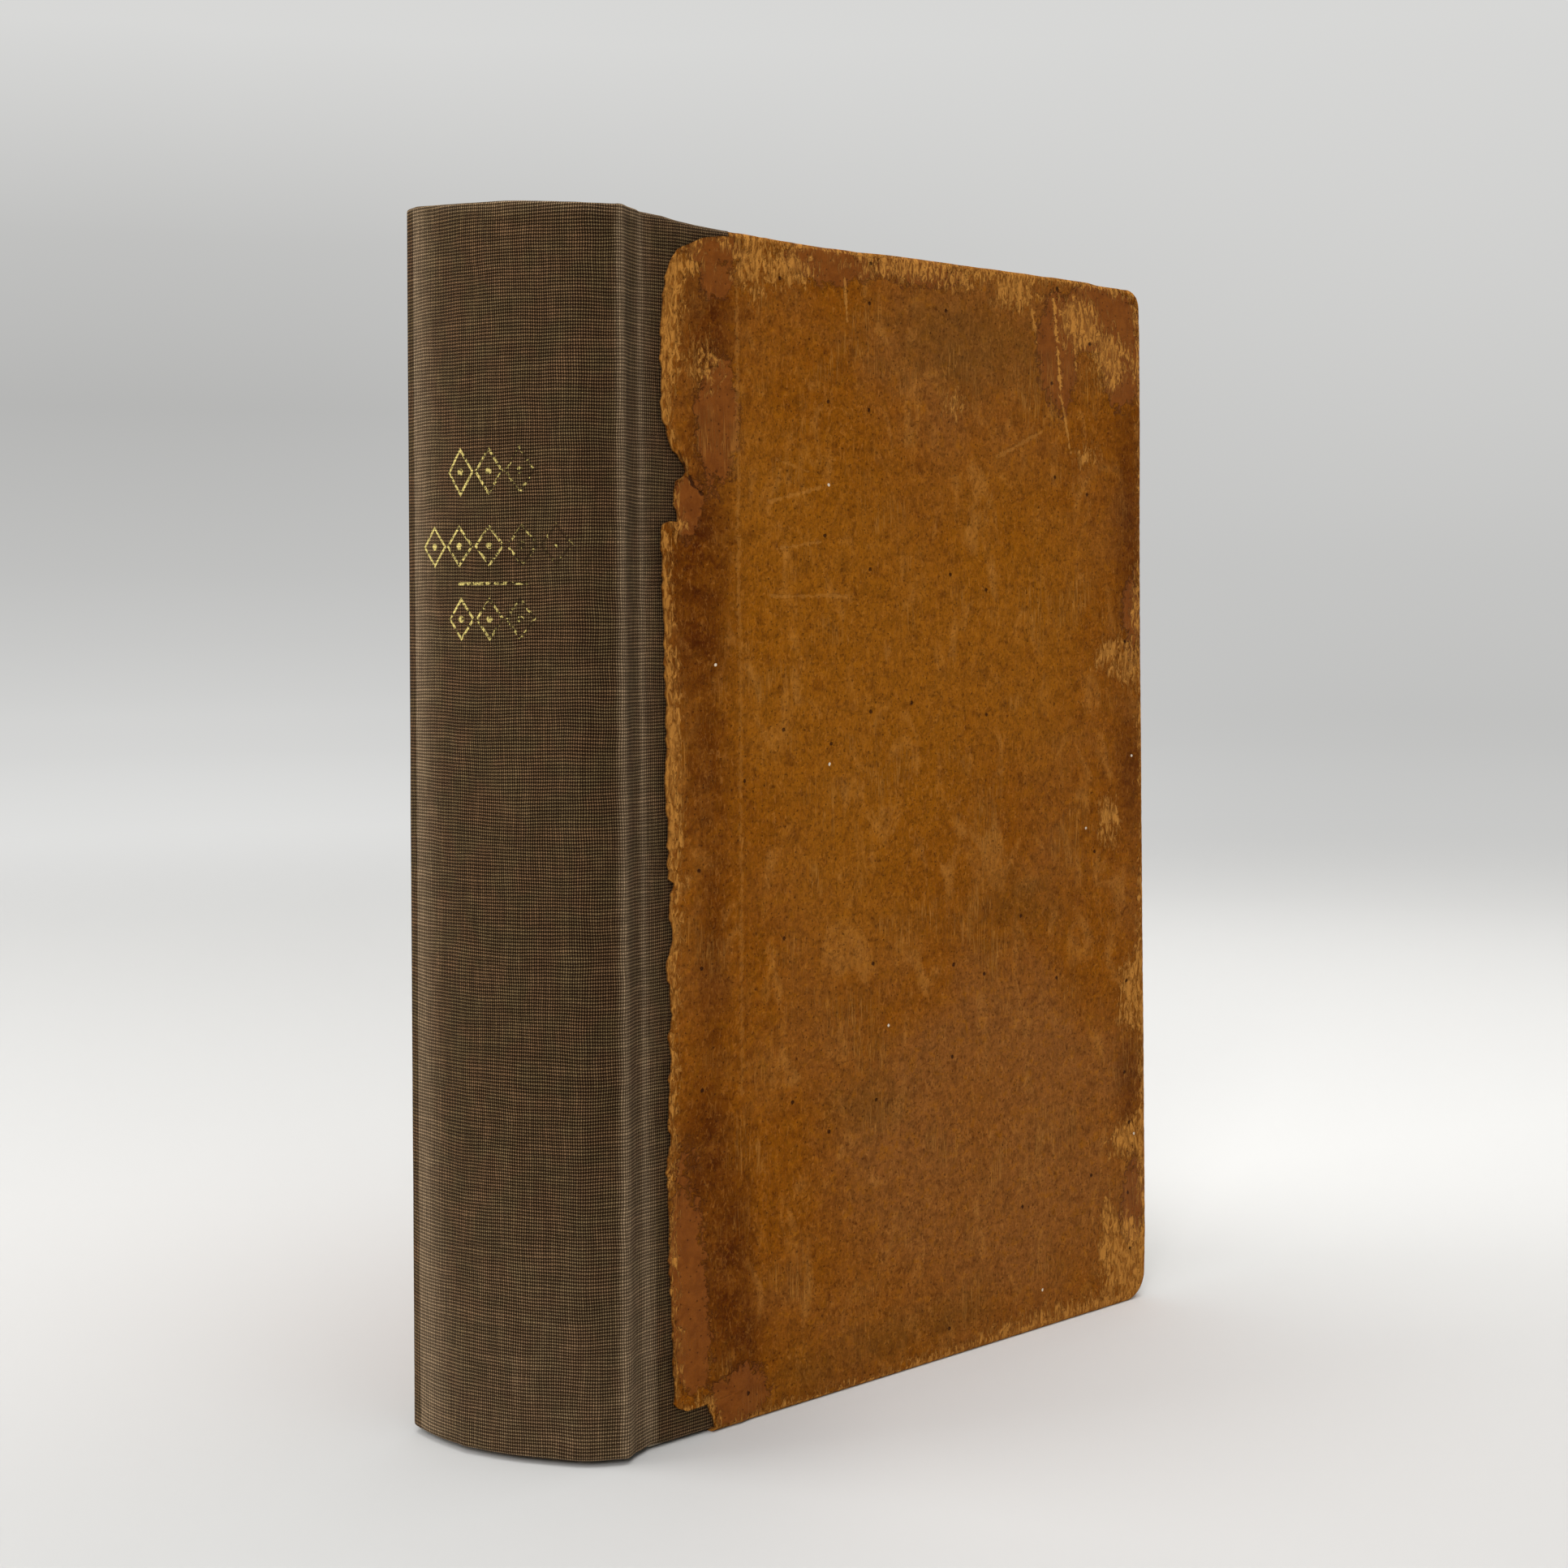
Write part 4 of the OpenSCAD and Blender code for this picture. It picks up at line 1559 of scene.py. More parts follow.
    def profile(self) -> tuple[Array, Array]:
        """Outer and inner line over an edge, each as (distance past the face, height w).

        The outer one is a quarter round, a straight side, a small round and the turn-in.

        Returns:
            The outer line and the inner line.
        """
        r, t = self.round_r, BOOK.leather_t
        full = BOOK.board_t + t
        a = np.radians([15, 35, 55, 75, 90])
        b = np.radians([35, 90])
        ends = [r - 4.0, r - 9.0, r - BOOK.turn_in + 0.5]
        outer = [(r * math.sin(x), full - r + r * math.cos(x)) for x in a]
        outer += [(r, 0.75), (r, 0.15)]
        outer += [(r - 0.5 + 0.5 * math.cos(x), 0.1 - 0.5 * math.sin(x)) for x in b]
        outer += [(end, -BOOK.turn_t) for end in ends]
        q = r - t
        inner = [(q * math.sin(x), full - r + q * math.cos(x)) for x in a]
        inner += [(q, 0.75), (q, 0.15), (q, 0.05), (q - 0.25, 0.0)]
        inner += [(end, 0.0) for end in ends]
        return np.array(outer), np.array(inner)

    def moved(self, s: Array, z: Array, out: float) -> tuple[Array, Array]:
        """Points of the face's border, moved outwards, or inwards where out is negative.

        A corner's points keep their direction from its centre and take the new radius. The
        straight runs between the corners are stretched to meet them.

        Args:
            s: Distance of points from the spine edge.
            z: Their height.
            out: How far they move.

        Returns:
            The moved points.
        """
        far, base, middle, hold = BOOK.cover_w - self.round_r, self.round_r, BOOK.cover_h / 2, 30.0
        upper = z > middle
        was, now = (np.where(upper, *self.radii(at)) for at in (0.0, out))
        top_s, new_s = far - was, far + out - now
        top_z = np.where(upper, BOOK.cover_h - base - was, base + was)
        new_z = np.where(upper, BOOK.cover_h - base + out - now, base - out + now)
        away_s, away_z = s - top_s, np.where(upper, z - top_z, top_z - z)
        corner = (away_s > 0) & (away_z > 0)
        fore = (s > far - 1e-6) & ~corner
        size = np.where(corner, np.hypot(away_s, away_z), 1.0)
        way = np.where(upper, 1.0, -1.0)
        end = np.where(upper, BOOK.cover_h - base + out, base - out)
        run_s = np.where(s > hold, hold + (s - hold) * (new_s - hold) / (top_s - hold), s)
        moved_s = np.where(fore, far + out, run_s)
        moved_z = np.where(fore, middle + (z - middle) * (new_z - middle) / (top_z - middle), end)
        moved_s = np.where(corner, new_s + now * away_s / size, moved_s)
        return moved_s, np.where(corner, new_z + way * now * away_z / size, moved_z)

    def worn(self, s: Array, z: Array) -> tuple[Array, Array]:
        """The outside's own dents along head and fore-edge, fading over eight millimetres.

        Args:
            s: Distance of points from the spine edge.
            z: Their height.

        Returns:
            The same, worn.
        """
        nick = -0.16 * np.abs(rough((s + z) / 2.4, (s - z) / 2.4, self.seed + 50))
        fore = ease(1 - (BOOK.cover_w - s) / 8.0)
        head = ease(1 - (BOOK.cover_h - z) / 8.0)
        tail = ease(1 - z / 4.0)
        rim = ease(1 - np.minimum(BOOK.cover_w - s, BOOK.cover_h - z) / 2.0)
        sink_s = fore * looked_up(self.fore_dip, z) + nick * rim * (fore > 0)
        sink_z = head * looked_up(self.head_dip, s) + nick * rim * (head > 0)
        return s + sink_s, z + sink_z - nick * 0.5 * tail * rim

    def bareness(self, s: Array, z: Array, near: Array) -> Array:
        """How far inside the bare strips along the tear and the edges points lie.

        Args:
            s: Distance of points from the spine edge.
            z: Their height.
            near: Their distance from the tear.

        Returns:
            Millimetres, below 0 outside.
        """
        strips = [
            looked_up(self.bare_tear, z) - near,
            looked_up(self.bare_head, s) - (BOOK.cover_h - z),
            looked_up(self.bare_tail, s) - z,
            looked_up(self.bare_fore, z) - (BOOK.cover_w - s),
        ]
        return np.max(np.stack(strips), 0)

    def build(self, material: Material) -> Piece:
        """Builds the leather of the cover.

        Args:
            material: Its finish.

        Returns:
            The leather, riding on its cover.
        """
        s, z, near = self.face()
        full = BOOK.board_t + BOOK.leather_t
        lifted = self.lift(s, z)
        curl_where = ease(0.5 + 1.3 * ripple(z / 6.5, z * 0 + 0.5, self.seed + 40))
        curl = (0.05 + 0.32 * curl_where) * np.exp(-near / 1.0)
        swell = 0.05 * rough(s / 14, z / 14, self.seed + 41, 2)
        w_out = full + lifted + curl + swell
        most = full + BOOK.cloth_t
        if self.side is Side.BACK:
            soft = 0.1 * np.tanh((w_out - most + 0.1) / 0.1)
            w_out = np.where(w_out > most - 0.1, most - 0.1 + soft, w_out)
        thin = BOOK.leather_t - 0.25 * np.exp(-near / 0.8)
        cover_in = BOOK.board_t + BOOK.cloth_t * (1 - ease((s - BOOK.flange_w) / BOOK.lift_slope))
        w_in = np.where(near > 3.0, cover_in, np.maximum(w_out - thin, cover_in + 0.02))

        ids = np.arange(s.size).reshape(s.shape)
        ring = np.concatenate([ids[0], ids[1:, -1], ids[-1, -2::-1]])
        rim_s, rim_z, rim_lift = s.flat[ring], z.flat[ring], lifted.flat[ring]
        outer, inner = self.profile()
        run = along(np.concatenate([[[0.0, full]], outer]))[1:]
        one_s, one_z = self.moved(rim_s, rim_z, 1.0)
        bare = self.bareness(s, z, near)
        rim_bare = bare.flat[ring] + self.round_r
        points_out = [np.stack([s, w_out, z], -1).reshape(-1, 3)]
        points_in = [np.stack([s, w_in, z], -1).reshape(-1, 3)]
        uvs, bares = [], []
        for k, ((out, w), (q, inner_w), arc) in enumerate(zip(outer, inner, run)):
            out_s, out_z = self.moved(rim_s, rim_z, out)
            out_w = w + rim_lift * max(0.0, 1 - k / 5)
            points_out.append(np.stack([out_s, out_w, out_z], -1))
            in_s, in_z = self.moved(rim_s, rim_z, q)
            points_in.append(np.stack([in_s, np.full_like(in_s, inner_w), in_z], -1))
            uvs.append(np.stack([rim_s + (one_s - rim_s) * arc, rim_z + (one_z - rim_z) * arc], -1))
            bares.append(rim_bare + 1.0 - max(arc - run[self.square_end], 0.0))
        local_out, local_in = np.concatenate(points_out), np.concatenate(points_in)
        flat_s, flat_z = local_out[:, 0].copy(), local_out[:, 2].copy()
        local_out[:, 0], local_out[:, 2] = self.worn(flat_s, flat_z)

        strips = np.concatenate([ring, s.size + np.arange(len(outer) * len(ring))])
        strips = strips.reshape(-1, len(ring))
        quads = np.concatenate([grid_quads(ids), grid_quads(strips)[:, ::-1]])
        border = np.concatenate([ids[::-1, 0], strips[1:, 0], strips[-1, 1:], strips[-2:0:-1, -1]])
        marks = {"bare": np.concatenate([bare.ravel()] + bares)}
        for kind in ("bare", "skin", "dark", "dim", "gold", "grey_tone_and_sheen"):
            depth = marks.get(kind, np.full(len(flat_s), self.deepest[0]))
            for blot in self.blots.get(kind, ()):
                depth = np.maximum(depth, blot.depth(flat_s, flat_z))
            marks[kind] = np.clip(depth, *self.deepest)
        uv = np.concatenate([np.stack([s, z], -1).reshape(-1, 2)] + uvs) * MM
        outside, inside = (BOOK.on_cover(self.side, *part.T) for part in (local_out, local_in))
        shape = two_sided(outside, inside, quads, border, uv, marks)
        made = shape.mesh(f"{self.side.value}_cover_leather", material)
        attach(made, f"{self.side.value}_cover")
        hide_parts(f"{self.side.value}_leather")
        return made


@dataclass
class Leaves:
    """The leaves, as a block whose edges step in and out from leaf to leaf."""

    layers: int = 170
    depth: int = 36
    height: int = 24
    unevenness: float = 0.22

    def build(self, material: Material) -> Piece:
        """Builds the block.

        A box of cells is bent: across, the leaves fan out at the shoulders; its spine side
        is the arc of the spine, its fore-edge is the same arc moved by the leaves' width,
        and both ends and the fore-edge step in and out with each leaf and each section.

        Args:
            material: Finish of the leaf edges.

        Returns:
            The block, riding on the body of the book.
        """
        nx, ny, nz = self.depth, self.layers, self.height
        ids = np.arange((nx + 1) * (ny + 1) * (nz + 1)).reshape(nx + 1, ny + 1, nz + 1)
        quads = np.concatenate([
            grid_quads(ids[0]), grid_quads(ids[-1])[:, ::-1],
            grid_quads(ids[:, 0])[:, ::-1], grid_quads(ids[:, -1]),
            grid_quads(ids[:, :, 0]), grid_quads(ids[:, :, -1])[:, ::-1],
        ])
        used, quads = np.unique(quads, return_inverse=True)
        quads = quads.reshape(-1, 4)
        x, y, z = (a.ravel()[used] for a in np.meshgrid(
            np.linspace(0, 1, nx + 1) ** 1.5, np.linspace(-1, 1, ny + 1), np.linspace(0, 1, nz + 1),
            indexing="ij"))
        t = np.linspace(0, 1, 40)
        curl_x = 2 * t * (1 - t) * 0.2 * BOOK.shoulder_run + t * t * BOOK.shoulder_run
        curl_y = BOOK.shoulder_rise * (1 - t) ** 2
        spine_y = y * (BOOK.half_t + BOOK.shoulder_rise) * 0.999
        spine_x = BOOK.spine_x - np.sqrt(BOOK.text_r**2 - spine_y**2)
        leaf = ripple(y * 85, z * 2.3, 71) * 0.6 + ripple(y * 11, z * 1.1, 72)
        fore_x = BOOK.page_w + BOOK.spine_x - np.sqrt(BOOK.text_r**2 - (y * BOOK.half_t) ** 2)
        fore_x = fore_x - (BOOK.spine_x - math.sqrt(BOOK.text_r**2 - BOOK.half_t**2))
        fore_x = fore_x + self.unevenness * (leaf - 1.0)
        wide = spine_x + (fore_x - spine_x) * x
        fan = np.interp(wide, curl_x, curl_y, left=BOOK.shoulder_rise, right=0.0)
        thick = y * (BOOK.half_t + fan * np.abs(y) ** 3)
        head, tail = (
            self.unevenness * (0.5 + 0.5 * ripple(y * 85, x * 3, seed)) * (x > 0.001)
            for seed in (73, 74)
        )
        high = BOOK.page_z + tail + (BOOK.page_h - head - tail) * z
        made = Shape(BOOK.row(wide, thick, high), quads).mesh("leaves", material)
        made.data.set_sharp_from_angle(angle=math.radians(40))
        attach(made, "book")
        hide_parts("text_block")
        return made


@dataclass
class Endband:
    """A roll of thread on a core, along one end of the spine of the leaves."""

    name: str
    height: float
    wrap_d: float = 2.5
    thread: float = 0.42
    furrow: float = 0.16

    def build(self, material: Material) -> Piece:
        """Builds the band.

        A tube along the arc of the spine, whose radius swells over each turn of thread as
        the root of a sine, the turns leaning a little, closed by a dome at both ends.

        Args:
            material: Finish of the thread.

        Returns:
            The band, riding on the body of the book.
        """
        band_r = BOOK.text_r - self.wrap_d / 2
        reach = math.radians(BOOK.spine_deg - 1.5)
        a = np.linspace(-reach, reach, 620)[:, None]
        b = np.linspace(0, 2 * math.pi, 20, endpoint=False)[None]
        run = a * band_r
        turn = np.abs(np.sin(math.pi * (run / self.thread + 0.5 * b / math.pi)))
        r = self.wrap_d / 2 - self.furrow * (1 - np.sqrt(turn))
        edge = np.clip((reach - np.abs(a)) * band_r / 0.8, 0, 1)
        r = r * np.sqrt(1 - (1 - edge) ** 2 * 0.999)
        place = band_r + r * np.cos(b)
        points = BOOK.row(
            BOOK.spine_x - place * np.cos(a), place * np.sin(a), self.height + r * np.sin(b))
        ids = closed_rows(a.size, b.size)
        quads = grid_quads(ids)
        caps = []
        for row in (ids[0, :-1], ids[-1, :-1][::-1]):
            half = len(row) // 2
            left, right = row[:half + 1], np.concatenate([row[:1], row[:half - 1:-1]])
            caps.append(np.stack([left[1:-1], left[2:], right[2:], right[1:-1]], -1)[:-1])
        quads = np.concatenate([quads] + caps)
        uv = np.stack(np.broadcast_arrays(run, b * 1.25 + a * 0), -1).reshape(-1, 2) * MM
        made = Shape(points.reshape(-1, 3), quads, uv).mesh(f"{self.name}_thread", material)
        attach(made, "book")
        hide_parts(self.name)
        return made


def posed(axes: Array, place: Colour) -> Matrix:
    """The matrix of an object whose own axes are these three columns, at this place.

    Args:
        axes: The axes, as columns.
        place: The place, in metres.

    Returns:
        The matrix.
    """
    matrix = np.eye(4)
    matrix[:3, :3], matrix[:3, 3] = axes, place
    return Matrix(matrix.tolist())


@dataclass(frozen=True)
class Lamp:
    """A square soft lamp.

    Attributes:
        name: Its name.
        place: Where it hangs.
        aim: The point that it shines towards.
        size: Its side, in metres.
        power: Its watts.
    """

    name: str
    place: Colour
    aim: Colour
    size: float
    power: float

    def hang(self) -> None:
        """Makes the lamp, its back turned away from the point that it shines towards."""
        data = bpy.data.lights.new(self.name, "AREA")
        data.shape = "SQUARE"
        data.size = self.size
        data.energy = self.power
        lamp = bpy.data.objects.new(self.name, data)
        away = np.array(self.place) - np.array(self.aim)
        away = away / np.linalg.norm(away)
        side = np.cross([0.0, 0.0, 1.0], away)
        side = side / max(np.linalg.norm(side), 1e-9)
        lamp.matrix_world = posed(np.stack([side, np.cross(away, side), away], 1), self.place)
        bpy.context.scene.collection.objects.link(lamp)


@dataclass
class Studio:
    """Pale sweep, soft lamps and the camera of the photograph.

    Attributes:
        focal_px: Focal length of the photograph, in its pixels.
        frame_px: Its width and height.
        horizon_px: Height of its horizon, from the top.
        place: Where the camera stands, in metres.
        ahead: Plan direction of its view.
        roll: How far it leans, in radians.
        sensor: Width of its sensor, in millimetres.
        left_tones: Painted tones at the left, by distance along the sweep, in metres.
        right_tones: The same at the right.
        floor_r: Radius of the flat floor, in metres.
        bend_r: Radius of its bend up into the backdrop.
        spokes: Number of its steps round.
        tone_run: Length that the painted tones' places are given over.
        near: Colour of the floor on the camera's side of the book, darker than behind it as painted
            shade.
        far: Colours of the lit floor behind it, at the left and at the right, the left darker as
            painted shade against the front lamp.
        lamps: The lamps.
        sky: Strength of the light from all round.
    """

    focal_px: float = 2800.0
    frame_px: float = 1932.0
    horizon_px: float = 757.0
    place: Colour = (-0.42982, -0.18080, 0.1515)
    ahead: tuple[float, float] = (0.9166, 0.3999)
    roll: float = 0.0065
    sensor: float = 36.0
    floor_r: float = 2.2
    bend_r: float = 0.9
    spokes: int = 64
    tone_run: float = 5.0
    left_tones: Table = (
        (0.31, 0.88), (0.77, 0.775), (2.45, 0.65), (3.0, 0.527), (3.44, 0.467), (3.8, 0.533),
        (4.14, 0.686),
    )
    right_tones: Table = (
        (0.31, 0.847), (0.77, 0.60), (2.45, 0.533), (3.0, 0.556), (3.44, 0.60), (3.8, 0.64),
        (4.14, 0.68),
    )
    # Floor colours darker in front of the book and at the left: painted shade.
    near: Colour = (0.565, 0.562, 0.553)
    far: tuple[Colour, Colour] = ((0.70, 0.697, 0.686), (0.865, 0.86, 0.846))
    lamps: tuple[Lamp, ...] = (
        Lamp("lamp overhead", (-0.15, -0.1, 1.7), (0.0, 0.0, 0.1), 1.6, 18.6),
        Lamp("lamp left", (-0.55, 1.05, 0.55), (0.0, 0.0, 0.12), 0.8, 8.7),
        Lamp("lamp front", (-1.35, -0.45, 0.95), (0.0, 0.0, 0.10), 0.6, 10.4),
    )
    sky: float = 0.49

    def camera(self) -> None:
        """Sets up the level camera, shifted so that its horizon is above the middle."""
        data = bpy.data.cameras.new("camera")
        data.sensor_width = self.sensor
        data.lens = self.focal_px / self.frame_px * self.sensor
        data.shift_y = (self.horizon_px - self.frame_px / 2) / self.frame_px
        data.clip_start, data.clip_end = 0.01, 50.0
        camera = bpy.data.objects.new("camera", data)
        bpy.context.scene.collection.objects.link(camera)
        ahead = np.array([*self.ahead, 0.0])
        ahead = ahead / np.linalg.norm(ahead)
        side = np.array([ahead[1], -ahead[0], 0.0])
        rise = np.array([0.0, 0.0, 1.0])
        up = rise * math.cos(self.roll) + side * math.sin(self.roll)
        right = side * math.cos(self.roll) - rise * math.sin(self.roll)
        camera.matrix_world = posed(np.stack([right, up, -ahead], 1), self.place)
        bpy.context.scene.camera = camera

    def sweep(self) -> None:
        """Builds the floor, which rises into a backdrop all round in one round bend.

        A surface of revolution: the radius runs out over the floor, up through a quarter
        round and straight up. Close to the book it is lit and takes its shadow. Further out
        the camera and reflections see a painted tone instead, which runs along the sweep and
        from its left to its right, while lamps light it as any surface.
        """
        way = np.radians(np.linspace(10, 90, 9))
        wall_r = self.floor_r + self.bend_r
        floor = np.concatenate([[0.002], np.linspace(0.1, self.floor_r, 12)])
        r = np.concatenate([floor, self.floor_r + self.bend_r * np.sin(way), [wall_r, wall_r]])
        z = np.concatenate([0 * floor, self.bend_r * (1 - np.cos(way)), [2.4, 4.0]])
        angle = np.linspace(0, 2 * math.pi, self.spokes, endpoint=False)
        r, z = r[:, None], z[:, None]
        points = np.stack([r * np.cos(angle), r * np.sin(angle), z + angle * 0], -1)
        ids = closed_rows(r.size, self.spokes)
        mesh = bpy.data.meshes.new("pale sweep")
        faces = grid_quads(ids).tolist() + [ids[0, :-1][::-1].tolist()]
        mesh.from_pydata(points.reshape(-1, 3).tolist(), [], faces)
        mesh.update()
        mesh.polygons.foreach_set("use_smooth", [True] * len(mesh.polygons))
        mesh.materials.append(self.paint())
        sweep = bpy.data.objects.new("pale_sweep", mesh)
        bpy.context.scene.collection.objects.link(sweep)

    def paint(self) -> Material:
        """Finish of the sweep: pale paper near the book, darker in front of it and at the left as
        painted shade, painted tones far from it.

        Returns:
            The material.
        """
        material, net, shader = new_material("pale sweep")
        place = net.place()
        ahead = net.vmath("DOT_PRODUCT", place, (self.ahead[0], self.ahead[1], 0.0))
        radius = net.vmath("LENGTH", net.vmath("MULTIPLY", place, (1.0, 1.0, 0.0)))
        way = net.vmath("DOT_PRODUCT", place, (self.ahead[1], -self.ahead[0], 0.0))
        way = net.between(net.over(way, net.larger(radius, 0.05)), -0.35, 0.35)
        reach = net.over(net.plus(radius, net.split(place)[2]), self.tone_run)
        # Painted shade: the floor's colour is darker in front of the book and at the left.
        lit = net.mix(net.between(ahead, -0.25, 0.15), self.near, net.mix(way, *self.far))
        net.feed(shader, {"Base Color": lit, "Roughness": 0.9, "Specular IOR Level": 0.1})
        tones = [
            net.ramp(reach, [(q / self.tone_run, (v, v, 0.985 * v)) for q, v in side])
            for side in (self.left_tones, self.right_tones)
        ]
        glow = net.add("ShaderNodeEmission", {"Color": net.mix(way, *tones), "Strength": 1.0})
        rays = net.add("ShaderNodeLightPath", {}).outputs
        seen = net.larger(rays["Is Camera Ray"], rays["Is Glossy Ray"])
        seen = net.larger(seen, rays["Is Transmission Ray"])
        share = net.times(seen, net.between(radius, 0.45, 1.25))
        both = net.add("ShaderNodeMixShader", {0: share, 1: shader.outputs[0], 2: glow.outputs[0]})
        net.feed(net.tree.nodes["Material Output"], {"Surface": both.outputs[0]})
        return material

    def build(self) -> None:
        """Builds the sweep, the lamps, the world and the camera."""
        self.camera()
        self.sweep()
        for lamp in self.lamps:
            lamp.hang()
        world = bpy.data.worlds.new("studio")
        world.use_nodes = True
        back = world.node_tree.nodes["Background"]
        back.inputs["Color"].default_value = (1.0, 0.995, 0.98, 1.0)
        back.inputs["Strength"].default_value = self.sky
        bpy.context.scene.world = world
        bpy.context.scene.view_settings.view_transform = "Standard"


FRONT_TEAR = (
    (20.6, 221.8), (17.1, 221.6), (13.6, 221.0), (10.3, 219.6), (7.8, 218.6), (6.3, 217.1),
    (5.3, 214.6), (4.7, 211.3), (4.2, 208.6), (3.9, 204.2), (3.7, 198.3), (3.7, 192.4),
    (3.8, 187.7), (4.5, 186.2), (5.6, 183.6), (7.1, 181.0), (8.6, 179.0), (9.6, 177.9),
    (8.6, 176.8), (6.9, 176.0), (6.5, 174.8), (6.3, 172.6), (6.9, 170.0), (7.4, 167.7),
    (5.7, 168.7), (4.0, 168.2), (3.4, 165.8), (3.6, 162.9), (3.7, 157.0), (4.1, 151.1),
    (4.2, 145.2), (4.3, 139.3), (4.3, 130.5), (4.2, 121.6), (4.3, 115.7), (4.5, 109.8),
    (4.8, 103.3), (6.7, 102.5), (5.3, 100.4), (4.9, 97.9), (5.1, 95.0), (5.6, 92.0),
    (4.5, 89.1), (4.1, 87.4), (4.6, 83.9), (5.5, 79.0), (5.1, 76.9), (4.7, 74.3),
    (5.3, 71.0), (4.5, 67.0), (4.4, 59.6), (4.6, 56.6), (5.0, 54.8), (4.2, 52.3),
    (4.0, 50.1), (4.5, 46.3), (4.4, 39.0), (4.4, 33.1), (4.9, 24.1), (5.2, 15.2),
    (5.3, 7.5), (6.4, 6.3), (8.0, 5.4), (9.5, 5.8), (11.8, 6.1), (13.1, 5.5),
    (13.9, 4.1), (14.7, 1.2),
)
BACK_TEAR = (
    (9.0, 221.8), (7.2, 219.5), (5.5, 216.8), (4.9, 207.0), (4.5, 190.0), (4.9, 176.0),
    (5.3, 168.0), (5.2, 160.0), (4.7, 141.0), (4.4, 120.0), (5.0, 101.0), (5.4, 84.0),
    (4.9, 66.0), (4.6, 50.0), (4.8, 30.0), (5.0, 14.0), (6.2, 6.0), (8.0, 1.2),
)


FRONT_LEATHER = CoverLeather(
    side=Side.FRONT,
    tear=FRONT_TEAR,
    ragged=0.34,
    seed=300,
    bare_tear=(
        (1, 0.9), (8, 0.7), (20, 0.3), (50, 0.4), (66, 0.9), (72, 0.9), (80, 1.3), (88, 2.0),
        (98, 1.6), (104, 2.0), (112, 3.1), (130, 3.1), (140, 2.2), (150, 1.3), (160, 1.7),
        (166, 0.7), (170, 0.3), (178, 0.2), (186, 0.5), (190, 2.0), (196, 3.0), (208, 4.6),
        (216, 4.2), (218, 0.6), (222, 0.3),
    ),
    bare_head=(
        (0, 0.8), (22, 1.6), (26, 2.8), (33, 1.8), (42, 0.2), (52, 0.6), (58, 2.0), (70, 1.8),
        (80, 2.4), (100, 2.4), (108, 1.2), (120, 0.6), (139, 0.8),
    ),
    bare_tail=(
        (0, 0.5), (14, 0.4), (25, 0.2), (55, 0.2), (65, 0.9), (80, 1.3), (92, 2.8), (110, 3.2),
        (125, 3.4), (139, 4.5),
    ),
    bare_fore=(
        (0, 4.0), (10, 4.5), (20, 1.6), (30, 2.4), (36, 6.0), (42, 2.0), (56, 1.0), (62, 4.0),
        (72, 4.5), (80, 1.6), (92, 1.2), (100, 0.3), (125, 0.3), (132, 1.5), (140, 2.6),
        (150, 2.8), (160, 1.5), (168, 0.4), (190, 0.3), (198, 1.0), (208, 2.0), (218, 2.0),
    ),
    head_dip=(
        (0, 0.3), (25, 0.3), (34, 0.0), (40, -0.15), (55, -0.15), (63, 0.1), (116, 0.15), (122, 0.15),
        (126, -0.3), (139, -0.35),
    ),
    fore_dip=(
        (0, -0.1), (6, -0.1), (15, 0.25), (58, 0.2), (80, 0.05), (125, 0.0), (145, -0.1),
        (161, -0.05), (177, 0.1), (192, 0.3), (211, 0.3), (223, 0.0),
    ),
    blots={
        "bare": (
            Blot(6.8, 211, 2.6, 7), Blot(25.5, 218, 3.5, 5.5), Blot(34, 217.5, 6, 3),
            Blot(64, 221, 10, 2), Blot(83, 220.5, 5, 2), Blot(98.5, 219, 6, 3.2),
            Blot(117, 214, 4, 5), Blot(122, 213, 4, 5), Blot(129, 207, 5, 6),
            Blot(122, 185, 2.5, 2), Blot(134, 141, 3.5, 5), Blot(128, 142, 4, 2.5),
            Blot(127.5, 106, 3, 4), Blot(134.5, 67, 3.5, 7), Blot(133.5, 36.5, 5.5, 3.5),
            Blot(133, 9, 7, 9), Blot(127, 14, 3, 8), Blot(80, 194, 2.5, 2),
            Blot(15, 198, 2, 3), Blot(12.5, 197, 2, 2),
        ),
        "skin": (
            Blot(16, 219.5, 7.5, 3.6), Blot(16.5, 214, 4, 4), Blot(17, 188, 5, 13),
            Blot(46, 220, 11, 4.5), Blot(8.3, 31, 4.4, 21), Blot(9.5, 19, 5, 11),
            Blot(21, 5.5, 7.5, 5.5), Blot(112, 207, 6, 13), Blot(126, 215, 14, 8),
            Blot(133, 207, 7, 11), Blot(9.5, 172, 4, 6), Blot(136, 150, 3, 9),
            Blot(135, 22, 4, 9), Blot(70, 221, 12, 3),
        ),
        "dark": (
            Blot(15, 206, 6, 12), Blot(15, 185, 5, 16), Blot(12.5, 162, 8, 17),
            Blot(12.5, 146, 7, 11), Blot(14, 124, 4.5, 16), Blot(15, 92, 3, 24),
            Blot(13.5, 52, 6.5, 14), Blot(18, 30, 6.5, 22), Blot(21, 15, 6, 10),
            Blot(135, 172, 4, 26), Blot(134, 50, 4, 9), Blot(135, 118, 4, 12),
        ),
        "dim": (
            Blot(84, 207, 20, 9), Blot(60, 7, 10, 4), Blot(40, 6, 8, 4), Blot(76, 8, 9, 3),
            Blot(100, 90, 10, 5), Blot(55, 55, 8, 4),
        ),
        "gold": (Blot(42, 150, 26, 45), Blot(60, 130, 30, 40), Blot(95, 150, 25, 30)),
        # The low blot paints a greyish sheen on the lower face.
        "grey_tone_and_sheen": (Blot(90, 40, 45, 35), Blot(85, 205, 24, 12)),
    },
)
